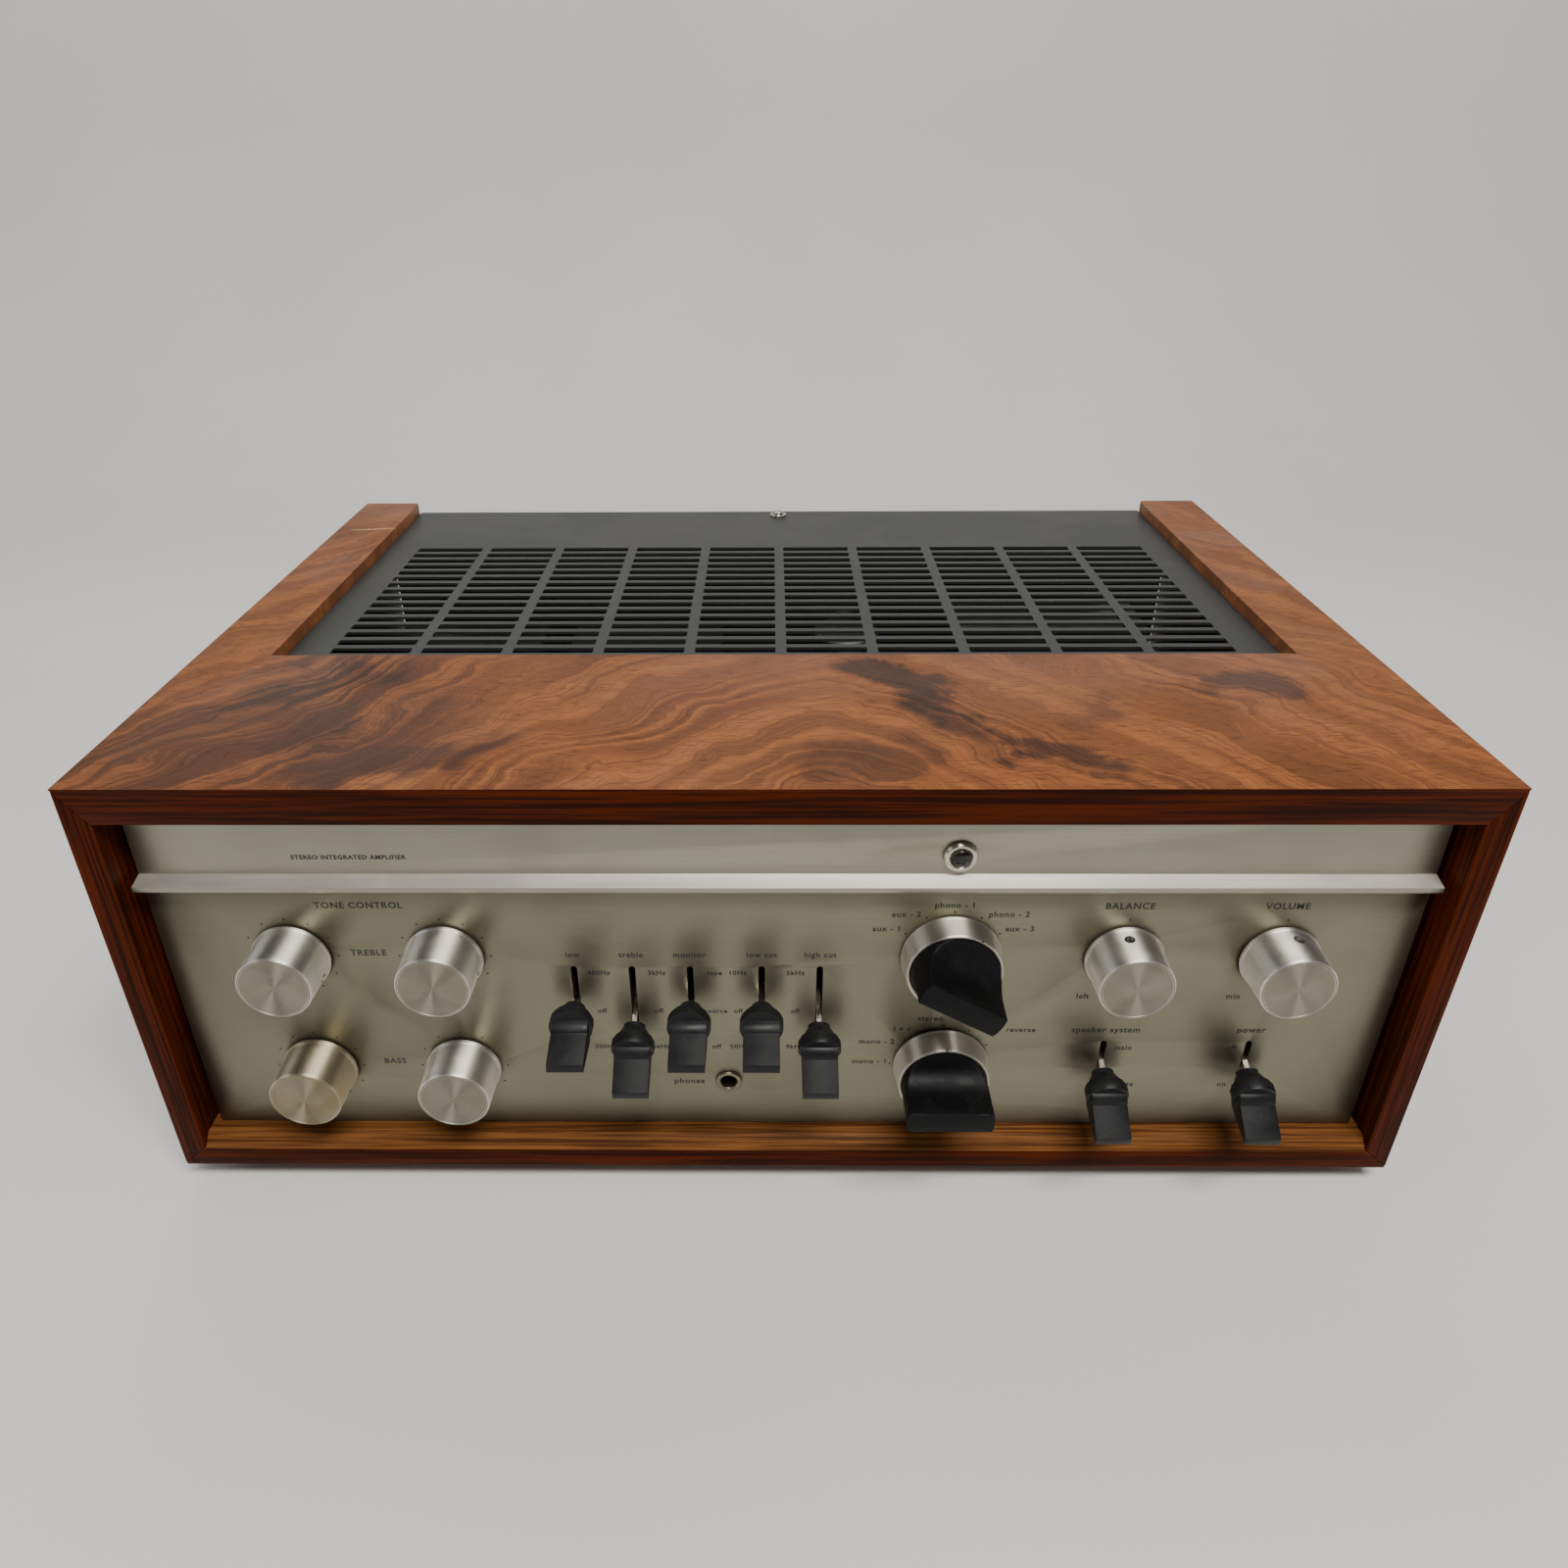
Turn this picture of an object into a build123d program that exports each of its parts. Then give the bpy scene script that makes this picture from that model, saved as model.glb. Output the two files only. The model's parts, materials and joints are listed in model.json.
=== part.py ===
from build123d import *
import os
from math import cos, radians, sin

os.makedirs("parts", exist_ok=True)

# Valve integrated amplifier in a wooden sleeve, in millimetres.
# +Z is up and the origin is on the floor, under the middle of the whole object, levers and sockets included.
# +X is to the right of someone facing the controls, and -Y points towards them.

# Driving dimensions of the cabinet
cabinet_width = 482.0
cabinet_depth = 320.0
cabinet_height = 177.5
foot_height = 10.0
front_y = -155.6
side_board = 10.0
top_board = 13.8
rail_front_height = 9.0
rail_shelf_height = 13.6
rail_chamfer_run = 4.7
rail_depth = 25.0
front_board_depth = 105.5
side_strip_width = 30.6
strip_corner_radius = 3.0

# Driving dimensions of the metalwork
grille_drop = 5.7
grille_sheet = 1.2
grille_ledge = 8.4
grille_screw_inset = 8.0
slot_rows = 16
slot_columns = 10
slot_row_pitch = 8.7
slot_column_pitch = 39.0
slot_length = 34.4
slot_width = 5.4
slot_corner = 0.8
first_slot_row = 122.6
sheet = 1.5
panel_recess = 10.0
panel_thickness = 3.0
panel_side_gap = 3.5
panel_top = 136.0
header_top = 163.5
ledge_reach = 6.0
ledge_lip = 2.2
deck_height = 60.0
deck_front = 58.0
deck_half_width = 222.0
rear_inset = 4.0

# Places of the controls, measured from the middle and from the cabinet's underside
outer_knob_x = 180.5
inner_knob_x = 124.2
upper_knob_z = 99.7
lower_knob_z = 44.9
selector_x = 61.3
upper_selector_z = 100.3
lower_selector_z = 46.2
left_lever_z = 79.0
right_lever_z = 55.8
right_slot_z = 51.4
inner_right_lever_x = 123.3
outer_right_lever_x = 178.8
lamp_z = 144.5
jack_x = -21.1
jack_z = 37.1

# Driving dimensions of the controls
control_gap = 0.6
knob_length = 18.2
knob_flange_radius = 14.4
knob_flange_height = 2.0
knob_base_radius = 13.8
knob_face_radius = 13.4
shaft_radius = 3.0
running_fit = 0.05
bushing_radius = 4.75
bushing_reach = 1.5
pot_radius = 12.0
pot_depth = 18.0
rotary_switch_radius = 18.0
rotary_switch_depth = 26.0
skirt_base_radius = 18.5
skirt_top_radius = 17.3
skirt_height = 10.5
handle_radius = 16.2
handle_height = 30.0
handle_bar_thickness = 9.7
handle_waist_height = 21.0
selector_rest_angle = -30.0
pivot_depth = 24.0
lever_throw = 20.0
stalk_width = 1.8
stalk_height = 3.2
stalk_bury = 38.6
lever_slot_width = 2.4
cap_start = 29.5
cap_end = 55.2
cap_collar_radius = 8.0
paddle_width = 13.2
pin_radius = 1.5

# Places worked out from the driving dimensions
back_y = front_y + cabinet_depth
under_z = foot_height
top_z = under_z + cabinet_height
half_width = cabinet_width / 2
inner_half = half_width - side_board
opening_half = half_width - side_strip_width
panel_y = front_y + panel_recess
subpanel_y = panel_y + panel_thickness
bay_y = subpanel_y + sheet
panel_half = inner_half - panel_side_gap
pivot_y = panel_y + pivot_depth
deck_z = under_z + deck_height
rear_y = back_y - rear_inset
grille_z = top_z - grille_drop - grille_sheet
upright = Plane.XZ.offset(-front_y)


def out_plane(x, z, depth=0.0, turn=0.0):
    """Plane on the front panel's face, looking out at the user, turned anticlockwise."""
    sideways = (cos(radians(turn)), 0, sin(radians(turn)))
    return Plane(origin=(x, panel_y + depth, z), x_dir=sideways, z_dir=(0, -1, 0))


def save(part, name):
    """Label one piece and write its STEP file."""
    part.label = name
    export_step(part, "parts/" + name + ".step")


# Wooden sleeve: a top board with a bay for the grille, two sides and a front rail, mitred at the corners
with BuildPart() as cabinet_top:
    with BuildSketch(upright):
        with BuildLine():
            Polyline(
                (-half_width, top_z),
                (half_width, top_z),
                (inner_half, top_z - top_board),
                (-inner_half, top_z - top_board),
                close=True,
            )
        make_face()
    extrude(amount=-cabinet_depth)
    bay_depth = cabinet_depth - front_board_depth
    with Locations((0, back_y, top_z)):
        Box(
            2 * opening_half,
            2 * bay_depth,
            2 * (grille_drop + grille_sheet),
            mode=Mode.SUBTRACT,
        )
        Box(
            2 * (opening_half - grille_ledge),
            2 * (bay_depth - grille_ledge),
            4 * top_board,
            mode=Mode.SUBTRACT,
        )
    strip_corners = cabinet_top.edges().filter_by(Axis.Z).group_by(Axis.Y)[-1].sort_by(Axis.X)
    fillet([strip_corners[0], strip_corners[-1]], strip_corner_radius)
save(cabinet_top.part, "cabinet_top")

for name, side in (("cabinet_left_side", -1), ("cabinet_right_side", 1)):
    with BuildPart() as cabinet_side:
        with BuildSketch(upright):
            with BuildLine():
                Polyline(
                    (side * half_width, under_z),
                    (side * half_width, top_z),
                    (side * inner_half, top_z - top_board),
                    (side * inner_half, under_z),
                    close=True,
                )
            make_face()
        extrude(amount=-cabinet_depth)
        with BuildSketch(upright):
            with BuildLine():
                Polyline(
                    (side * half_width, under_z),
                    (side * inner_half, under_z + rail_front_height),
                    (side * inner_half, under_z),
                    close=True,
                )
            make_face()
        extrude(amount=-rail_depth, mode=Mode.SUBTRACT)
    save(cabinet_side.part, name)

with BuildPart() as cabinet_front_rail:
    with BuildSketch(Plane.YZ):
        with BuildLine():
            Polyline(
                (front_y, under_z),
                (front_y, under_z + rail_front_height),
                (front_y + rail_chamfer_run, under_z + rail_shelf_height),
                (front_y + rail_depth, under_z + rail_shelf_height),
                (front_y + rail_depth, under_z),
                close=True,
            )
        make_face()
    extrude(amount=half_width, both=True)
    for side in (-1, 1):
        with BuildSketch(upright):
            with BuildLine():
                Polyline(
                    (side * inner_half, under_z + rail_front_height),
                    (side * half_width, under_z),
                    (side * (half_width + 1), under_z),
                    (side * (half_width + 1), under_z + rail_depth),
                    (side * inner_half, under_z + rail_depth),
                    close=True,
                )
            make_face()
        extrude(amount=-rail_depth, mode=Mode.SUBTRACT)
save(cabinet_front_rail.part, "cabinet_front_rail")

# Ventilation grille: a slotted sheet that lies in the top board's rebate, folded down at the back
grille_clearance = 0.3
grille_front = front_y + front_board_depth + grille_clearance
grille_length = back_y - grille_front
slot_middle_y = front_y + first_slot_row + (slot_rows - 1) * slot_row_pitch / 2
screw_y = back_y - grille_screw_inset
screw_radius = 2.0
with BuildPart() as top_grille:
    with Locations((0, grille_front + grille_length / 2, grille_z)):
        Box(
            2 * (opening_half - grille_clearance),
            grille_length,
            grille_sheet,
            align=(Align.CENTER, Align.CENTER, Align.MIN),
        )
    with Locations((0, back_y, grille_z)):
        Box(
            2 * (opening_half - grille_ledge) - 2,
            grille_sheet,
            grille_ledge,
            align=(Align.CENTER, Align.MAX, Align.MAX),
        )
    with BuildSketch(Plane.XY.offset(grille_z)):
        with Locations((0, slot_middle_y)):
            with GridLocations(slot_column_pitch, slot_row_pitch, slot_columns, slot_rows):
                RectangleRounded(slot_length, slot_width, slot_corner)
        with Locations((0, screw_y)):
            Circle(screw_radius + 0.2)
    extrude(amount=grille_sheet, mode=Mode.SUBTRACT)
save(top_grille.part, "top_grille")

washer_radius = 4.6
washer_height = 1.0
head_radius = 2.9
head_height = 1.6
nut_radius = 3.4
nut_height = 3.0
with BuildPart(Plane.XY.offset(grille_z + grille_sheet)) as grille_screw:
    with Locations((0, screw_y)):
        Cylinder(washer_radius, washer_height, align=(Align.CENTER, Align.CENTER, Align.MIN))
    with Locations((0, screw_y, washer_height)):
        Cylinder(head_radius, head_height, align=(Align.CENTER, Align.CENTER, Align.MIN))
        screw_rim = grille_screw.edges().filter_by(GeomType.CIRCLE).group_by(Axis.Z)[-1]
        fillet(screw_rim, 0.8)
        Cylinder(screw_radius, washer_height + grille_sheet, align=(Align.CENTER, Align.CENTER, Align.MAX))
    with Locations((0, screw_y, washer_height + head_height)):
        Box(3 * head_radius, 0.8, head_height, mode=Mode.SUBTRACT)
    with Locations((0, screw_y, -grille_sheet)):
        Cylinder(nut_radius, nut_height, align=(Align.CENTER, Align.CENTER, Align.MAX))
save(grille_screw.part, "grille_screw")

# Chassis: a folded steel deck on four walls, with two arms that carry the subpanel
large_socket_x = (-185.0, -130.0, -75.0, -20.0)
large_socket_y = front_y + 140.0
small_socket_x = (50.0, 90.0, 130.0, 170.0)
small_socket_y = front_y + 105.0
large_socket_radius = 15.0
small_socket_radius = 10.5
can_x = 35.0
can_y = (front_y + 180.0, front_y + 224.0, front_y + 268.0)
can_radius = 17.5
chassis_foot = under_z + 6.0
window_margin = 5.0
with BuildPart() as chassis_frame:
    with Locations((0, front_y + deck_front, chassis_foot)):
        Box(
            2 * deck_half_width,
            rear_y - front_y - deck_front,
            deck_z - chassis_foot,
            align=(Align.CENTER, Align.MIN, Align.MIN),
        )
    with Locations((0, front_y + deck_front + sheet, chassis_foot)):
        Box(
            2 * (deck_half_width - sheet),
            rear_y - front_y - deck_front - 2 * sheet,
            deck_z - chassis_foot - sheet,
            align=(Align.CENTER, Align.MIN, Align.MIN),
            mode=Mode.SUBTRACT,
        )
    with Locations((0, rear_y, chassis_foot + window_margin)):
        Box(
            2 * (deck_half_width - 2 * window_margin),
            4 * sheet,
            deck_z - chassis_foot - 2 * window_margin,
            align=(Align.CENTER, Align.CENTER, Align.MIN),
            mode=Mode.SUBTRACT,
        )
    for side in (-1, 1):
        with Locations((side * (deck_half_width - sheet / 2), bay_y, under_z + rail_shelf_height + 1)):
            Box(
                sheet,
                front_y + deck_front + sheet - bay_y,
                deck_height - rail_shelf_height - 1,
                align=(Align.CENTER, Align.MIN, Align.MIN),
            )
    with BuildSketch(Plane.XY.offset(deck_z)):
        with Locations(*[(x, large_socket_y) for x in large_socket_x]):
            Circle(large_socket_radius - 1)
        with Locations(*[(x, small_socket_y) for x in small_socket_x]):
            Circle(small_socket_radius - 1)
    extrude(amount=-sheet, mode=Mode.SUBTRACT)
save(chassis_frame.part, "chassis_frame")

cover_thickness = 1.5
with BuildPart() as bottom_cover:
    with Locations((0, front_y + rail_depth, chassis_foot)):
        Box(
            2 * inner_half,
            cabinet_depth - rail_depth - 2,
            cover_thickness,
            align=(Align.CENTER, Align.MIN, Align.MAX),
        )
    with BuildSketch(Plane.XY.offset(chassis_foot)):
        with Locations((0, 30)):
            with GridLocations(44, 14, 8, 8):
                SlotOverall(32, 5)
    extrude(amount=-cover_thickness, mode=Mode.SUBTRACT)
save(bottom_cover.part, "bottom_cover")

foot_radius = 13.0
foot_inset_x = 46.0
foot_inset_y = 40.0
with BuildPart() as feet:
    with Locations((0, (front_y + back_y) / 2)):
        with GridLocations(cabinet_width - 2 * foot_inset_x, cabinet_depth - 2 * foot_inset_y, 2, 2):
            Cone(
                foot_radius - 1.5,
                foot_radius,
                chassis_foot - cover_thickness,
                align=(Align.CENTER, Align.CENTER, Align.MIN),
            )
    fillet(feet.edges().filter_by(GeomType.CIRCLE).group_by(Axis.Z)[0], 1.5)
save(feet.part, "feet")

# Rear panel, pierced for the sockets, the loudspeaker terminals and the cord
panel_shoulder = 17.0
phono_x = (-190.0, -168.0, -146.0, -124.0, -102.0, -80.0)
phono_z = (under_z + 24.0, under_z + 44.0)
phono_radius = 4.2
post_x = (10.0, 30.0, 50.0, 80.0, 100.0, 120.0)
post_z = under_z + 34.0
post_radius = 3.0
inlet_x = 190.0
inlet_z = under_z + 30.0
inlet_radius = 7.0
with BuildPart() as rear_panel:
    with Locations((0, rear_y, chassis_foot)):
        Box(
            2 * (inner_half - 1.5),
            sheet,
            grille_z - chassis_foot - panel_shoulder,
            align=(Align.CENTER, Align.MIN, Align.MIN),
        )
        Box(
            2 * (opening_half - grille_ledge - 2),
            sheet,
            grille_z - chassis_foot,
            align=(Align.CENTER, Align.MIN, Align.MIN),
        )
    with BuildSketch(Plane.XZ.offset(-rear_y - sheet)):
        for z in phono_z:
            with Locations(*[(x, z) for x in phono_x]):
                Circle(phono_radius - 0.7)
        with Locations(*[(x, post_z) for x in post_x]):
            Circle(post_radius)
        with Locations((inlet_x, inlet_z)):
            Circle(inlet_radius)
    extrude(amount=sheet, mode=Mode.SUBTRACT)
save(rear_panel.part, "rear_panel")

# Knob, selector and lever places: name, x, z, and for levers the angle at rest (positive is tip down)
knobs = (
    ("treble_left", -outer_knob_x, under_z + upper_knob_z, -20),
    ("treble_right", -inner_knob_x, under_z + upper_knob_z, -15),
    ("bass_left", -outer_knob_x, under_z + lower_knob_z, -35),
    ("bass_right", -inner_knob_x, under_z + lower_knob_z, -28),
    ("balance", inner_knob_x, under_z + upper_knob_z, 90),
    ("volume", outer_knob_x, under_z + upper_knob_z, 85),
)
selectors = (
    ("source_selector", selector_x, under_z + upper_selector_z, selector_rest_angle),
    ("mode_selector", selector_x, under_z + lower_selector_z, 0.0),
)
levers = (
    ("lever_1", -77.4, under_z + left_lever_z, 0.0),
    ("lever_2", -55.9, under_z + left_lever_z, lever_throw),
    ("lever_3", -34.4, under_z + left_lever_z, 0.0),
    ("lever_4", -7.9, under_z + left_lever_z, 0.0),
    ("lever_5", 13.6, under_z + left_lever_z, lever_throw),
    ("lever_6", inner_right_lever_x, under_z + right_lever_z, lever_throw),
    ("lever_7", outer_right_lever_x, under_z + right_lever_z, lever_throw),
)
left_slot = (under_z + left_lever_z, 31.6)
right_slot = (under_z + right_slot_z, 13.8)


def lever_slot(z):
    """Middle height and length of the panel slot of a lever: the right pair has the shorter slots."""
    return right_slot if z < under_z + (left_lever_z + right_lever_z) / 2 else left_slot


def panel_holes(extra):
    """Sketch of the holes that the controls need, with clearance added to the lever slots."""
    with Locations(*[(x, z) for _, x, z, _ in knobs + selectors]):
        Circle(bushing_radius + 0.1)
    for _, x, z, _ in levers:
        middle, length = lever_slot(z)
        with Locations((x, middle)):
            SlotOverall(length + extra, lever_slot_width + extra, rotation=90)


jack_thread_radius = 4.5
lamp_thread_radius = 4.0
with BuildPart() as subpanel:
    with BuildSketch(Plane.XZ.offset(-subpanel_y)):
        with Locations((0, under_z + rail_shelf_height + 0.6)):
            Rectangle(
                2 * (panel_half - 2),
                header_top - rail_shelf_height - 1,
                align=(Align.CENTER, Align.MIN),
            )
        with Locations((selector_x, under_z + lamp_z)):
            Circle(lamp_thread_radius, mode=Mode.SUBTRACT)
        with Locations((jack_x, under_z + jack_z)):
            Circle(jack_thread_radius, mode=Mode.SUBTRACT)
    extrude(amount=-sheet)
    with BuildSketch(Plane.XZ.offset(-subpanel_y)):
        panel_holes(1.6)
    extrude(amount=-sheet, mode=Mode.SUBTRACT)
save(subpanel.part, "subpanel")

with BuildPart() as front_panel:
    with BuildSketch(Plane.XZ.offset(-panel_y)):
        with Locations((0, under_z + rail_shelf_height + 0.4)):
            Rectangle(
                2 * panel_half,
                panel_top - rail_shelf_height - 0.4,
                align=(Align.CENTER, Align.MIN),
            )
        with Locations((jack_x, under_z + jack_z)):
            Circle(jack_thread_radius, mode=Mode.SUBTRACT)
    extrude(amount=-panel_thickness)
    with BuildSketch(Plane.XZ.offset(-panel_y)):
        panel_holes(0)
    extrude(amount=-panel_thickness, mode=Mode.SUBTRACT)
save(front_panel.part, "front_panel")

# Header over the front panel: a flat strip with a sloping ledge along its lower edge
header_foot = under_z + panel_top
ledge_rise = 0.6
ledge_fall = 1.6
ledge_underside = 3.2
with BuildPart() as header_trim:
    with BuildSketch(Plane.YZ):
        with BuildLine():
            Polyline(
                (subpanel_y, under_z + header_top),
                (panel_y, under_z + header_top),
                (panel_y, header_foot + ledge_rise),
                (panel_y - ledge_reach, header_foot + ledge_rise - ledge_fall),
                (panel_y - ledge_reach, header_foot + ledge_rise - ledge_fall - ledge_lip),
                (panel_y, header_foot - ledge_underside),
                (panel_y, header_foot),
                (subpanel_y, header_foot),
                close=True,
            )
        make_face()
    extrude(amount=panel_half, both=True)
    with BuildSketch(out_plane(selector_x, under_z + lamp_z)):
        Circle(lamp_thread_radius)
    extrude(amount=-panel_thickness, mode=Mode.SUBTRACT)
save(header_trim.part, "header_trim")

# Pilot lamp and headphone jack
lamp_rim_radius = 5.9
lens_radius = 3.5
lamp_depth = 12.0
rim_height = 2.2
with BuildPart(out_plane(selector_x, under_z + lamp_z)) as lamp_bezel:
    Cylinder(lamp_rim_radius, rim_height, align=(Align.CENTER, Align.CENTER, Align.MIN))
    chamfer(lamp_bezel.edges().filter_by(GeomType.CIRCLE).group_by(Axis.Y)[0], 0.7)
    Cylinder(lamp_thread_radius, lamp_depth, align=(Align.CENTER, Align.CENTER, Align.MAX))
    Cylinder(lens_radius, 4 * lamp_depth, mode=Mode.SUBTRACT)
save(lamp_bezel.part, "lamp_bezel")

with BuildPart(out_plane(selector_x, under_z + lamp_z, depth=lamp_depth)) as lamp_lens:
    Cylinder(lens_radius, lamp_depth + rim_height + 0.8, align=(Align.CENTER, Align.CENTER, Align.MIN))
    fillet(lamp_lens.edges().filter_by(GeomType.CIRCLE).group_by(Axis.Y)[0], 1.6)
save(lamp_lens.part, "lamp_lens")

jack_rim_radius = 5.0
jack_bore_radius = 3.2
jack_bore_depth = 28.0
with BuildPart(out_plane(jack_x, under_z + jack_z)) as headphone_jack:
    Cylinder(jack_rim_radius, 1.4, align=(Align.CENTER, Align.CENTER, Align.MIN))
    chamfer(headphone_jack.edges().filter_by(GeomType.CIRCLE).group_by(Axis.Y)[0], 0.5)
    back_of_bay = panel_thickness + sheet
    Cylinder(jack_thread_radius, back_of_bay, align=(Align.CENTER, Align.CENTER, Align.MAX))
    with Locations((0, 0, -back_of_bay)):
        Box(16, 20, 28, align=(Align.CENTER, Align.CENTER, Align.MAX))
    with Locations((0, 0, 1.4)):
        Cylinder(
            jack_bore_radius,
            jack_bore_depth,
            align=(Align.CENTER, Align.CENTER, Align.MAX),
            mode=Mode.SUBTRACT,
        )
save(headphone_jack.part, "headphone_jack")


def control_body(places, radius, depth):
    """Bodies behind the subpanel, each with a threaded bushing that a shaft turns in."""
    for _, x, z, _ in places:
        with Locations(out_plane(x, z, depth=panel_thickness + sheet)):
            Cylinder(radius, depth, align=(Align.CENTER, Align.CENTER, Align.MAX))
            Cylinder(
                bushing_radius,
                panel_thickness + sheet + bushing_reach,
                align=(Align.CENTER, Align.CENTER, Align.MIN),
            )
        with Locations(out_plane(x, z, depth=-bushing_reach - 1)):
            Cylinder(
                shaft_radius + running_fit,
                panel_thickness + sheet + bushing_reach + 1 + depth - 2,
                align=(Align.CENTER, Align.CENTER, Align.MAX),
                mode=Mode.SUBTRACT,
            )


with BuildPart() as potentiometers:
    control_body(knobs, pot_radius, pot_depth)
save(potentiometers.part, "potentiometers")

with BuildPart() as rotary_switches:
    control_body(selectors, rotary_switch_radius, rotary_switch_depth)
save(rotary_switches.part, "rotary_switches")

# Lever switch bodies: two cheeks round a slot, with a cross bore for the lever's pin
switch_width = 12.0
switch_depth = 36.0
switch_height = 40.0
switch_slot = 2.6
switch_slot_height = 28.0
with BuildPart() as lever_switches:
    for _, x, z, _ in levers:
        with Locations((x, bay_y, z)):
            Box(
                switch_width,
                switch_depth,
                switch_height,
                align=(Align.CENTER, Align.MIN, Align.CENTER),
            )
            Box(
                switch_slot,
                switch_depth - 2,
                switch_slot_height,
                align=(Align.CENTER, Align.MIN, Align.CENTER),
                mode=Mode.SUBTRACT,
            )
        with Locations((x, pivot_y, z)):
            Cylinder(
                pin_radius + running_fit,
                switch_width - 2,
                rotation=(0, 90, 0),
                mode=Mode.SUBTRACT,
            )
save(lever_switches.part, "lever_switches")

# Aluminium knobs: a flanged, slightly tapered barrel with a chamfered face, a bore and a grub-screw hole
for name, x, z, grub_angle in knobs:
    with BuildPart(out_plane(x, z, depth=-control_gap)) as knob:
        Cylinder(
            knob_flange_radius,
            knob_flange_height,
            align=(Align.CENTER, Align.CENTER, Align.MIN),
        )
        with Locations((0, 0, knob_flange_height)):
            Cone(
                knob_base_radius,
                knob_face_radius,
                knob_length - knob_flange_height,
                align=(Align.CENTER, Align.CENTER, Align.MIN),
            )
        chamfer(knob.edges().filter_by(GeomType.CIRCLE).group_by(Axis.Y)[0], 0.8)
        Cylinder(
            shaft_radius,
            knob_length - 4,
            align=(Align.CENTER, Align.CENTER, Align.MIN),
            mode=Mode.SUBTRACT,
        )
        Cylinder(
            bushing_radius + 3,
            4.0,
            align=(Align.CENTER, Align.CENTER, Align.MIN),
            mode=Mode.SUBTRACT,
        )
        grub_x = cos(radians(grub_angle))
        grub_y = sin(radians(grub_angle))
        with Locations(Location((grub_x * 9, grub_y * 9, 6.5), (0, 90, grub_angle))):
            Cylinder(1.6, 11.0, mode=Mode.SUBTRACT)
    save(knob.part, "knob_" + name)

    with BuildPart(out_plane(x, z, depth=-control_gap)) as shaft:
        with Locations((0, 0, knob_length - 4.5)):
            Cylinder(
                shaft_radius,
                knob_length - 4.5 + control_gap + panel_thickness + sheet + pot_depth - 3,
                align=(Align.CENTER, Align.CENTER, Align.MAX),
            )
    save(shaft.part, "shaft_" + name)

# Rotary selectors: a metal skirt round a black handle whose sides sweep in to a straight bar
for name, x, z, rest_angle in selectors:
    with BuildPart(out_plane(x, z, depth=-control_gap)) as skirt:
        Cone(
            skirt_base_radius,
            skirt_top_radius,
            skirt_height,
            align=(Align.CENTER, Align.CENTER, Align.MIN),
        )
        chamfer(skirt.edges().filter_by(GeomType.CIRCLE).group_by(Axis.Y)[0], 0.4)
        Cylinder(
            handle_radius,
            4 * skirt_height,
            mode=Mode.SUBTRACT,
        )
    save(skirt.part, "skirt_" + name)

    face = out_plane(x, z, depth=-control_gap, turn=rest_angle)
    across = Plane(origin=face.origin, x_dir=face.y_dir, z_dir=face.x_dir)
    bar_half = handle_bar_thickness / 2
    with BuildPart() as handle:
        with BuildSketch(across):
            with BuildLine():
                Polyline((-bar_half, handle_waist_height), (-bar_half, handle_height))
                Line((-bar_half, handle_height), (bar_half, handle_height))
                Line((bar_half, handle_height), (bar_half, handle_waist_height))
                ThreePointArc(
                    (bar_half, handle_waist_height),
                    (bar_half + 2.6, handle_waist_height - 5.4),
                    (handle_radius, skirt_height),
                )
                Line((handle_radius, skirt_height), (handle_radius, 0.6))
                Line((handle_radius, 0.6), (-handle_radius, 0.6))
                Line((-handle_radius, 0.6), (-handle_radius, skirt_height))
                ThreePointArc(
                    (-handle_radius, skirt_height),
                    (-bar_half - 2.6, handle_waist_height - 5.4),
                    (-bar_half, handle_waist_height),
                )
            make_face()
        extrude(amount=handle_radius, both=True)
        with Locations(face):
            Cylinder(handle_radius, 3 * handle_height, mode=Mode.INTERSECT)
            Cylinder(
                bushing_radius + 3,
                4.0,
                align=(Align.CENTER, Align.CENTER, Align.MIN),
                mode=Mode.SUBTRACT,
            )
            Cylinder(
                shaft_radius,
                handle_waist_height,
                align=(Align.CENTER, Align.CENTER, Align.MIN),
                mode=Mode.SUBTRACT,
            )
    save(handle.part, "handle_" + name)

    with BuildPart(face) as shaft:
        with Locations((0, 0, handle_waist_height - 0.5)):
            Cylinder(
                shaft_radius,
                handle_waist_height - 0.5 + control_gap + panel_thickness + sheet + rotary_switch_depth - 3,
                align=(Align.CENTER, Align.CENTER, Align.MAX),
            )
    save(shaft.part, "shaft_" + name)

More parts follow.
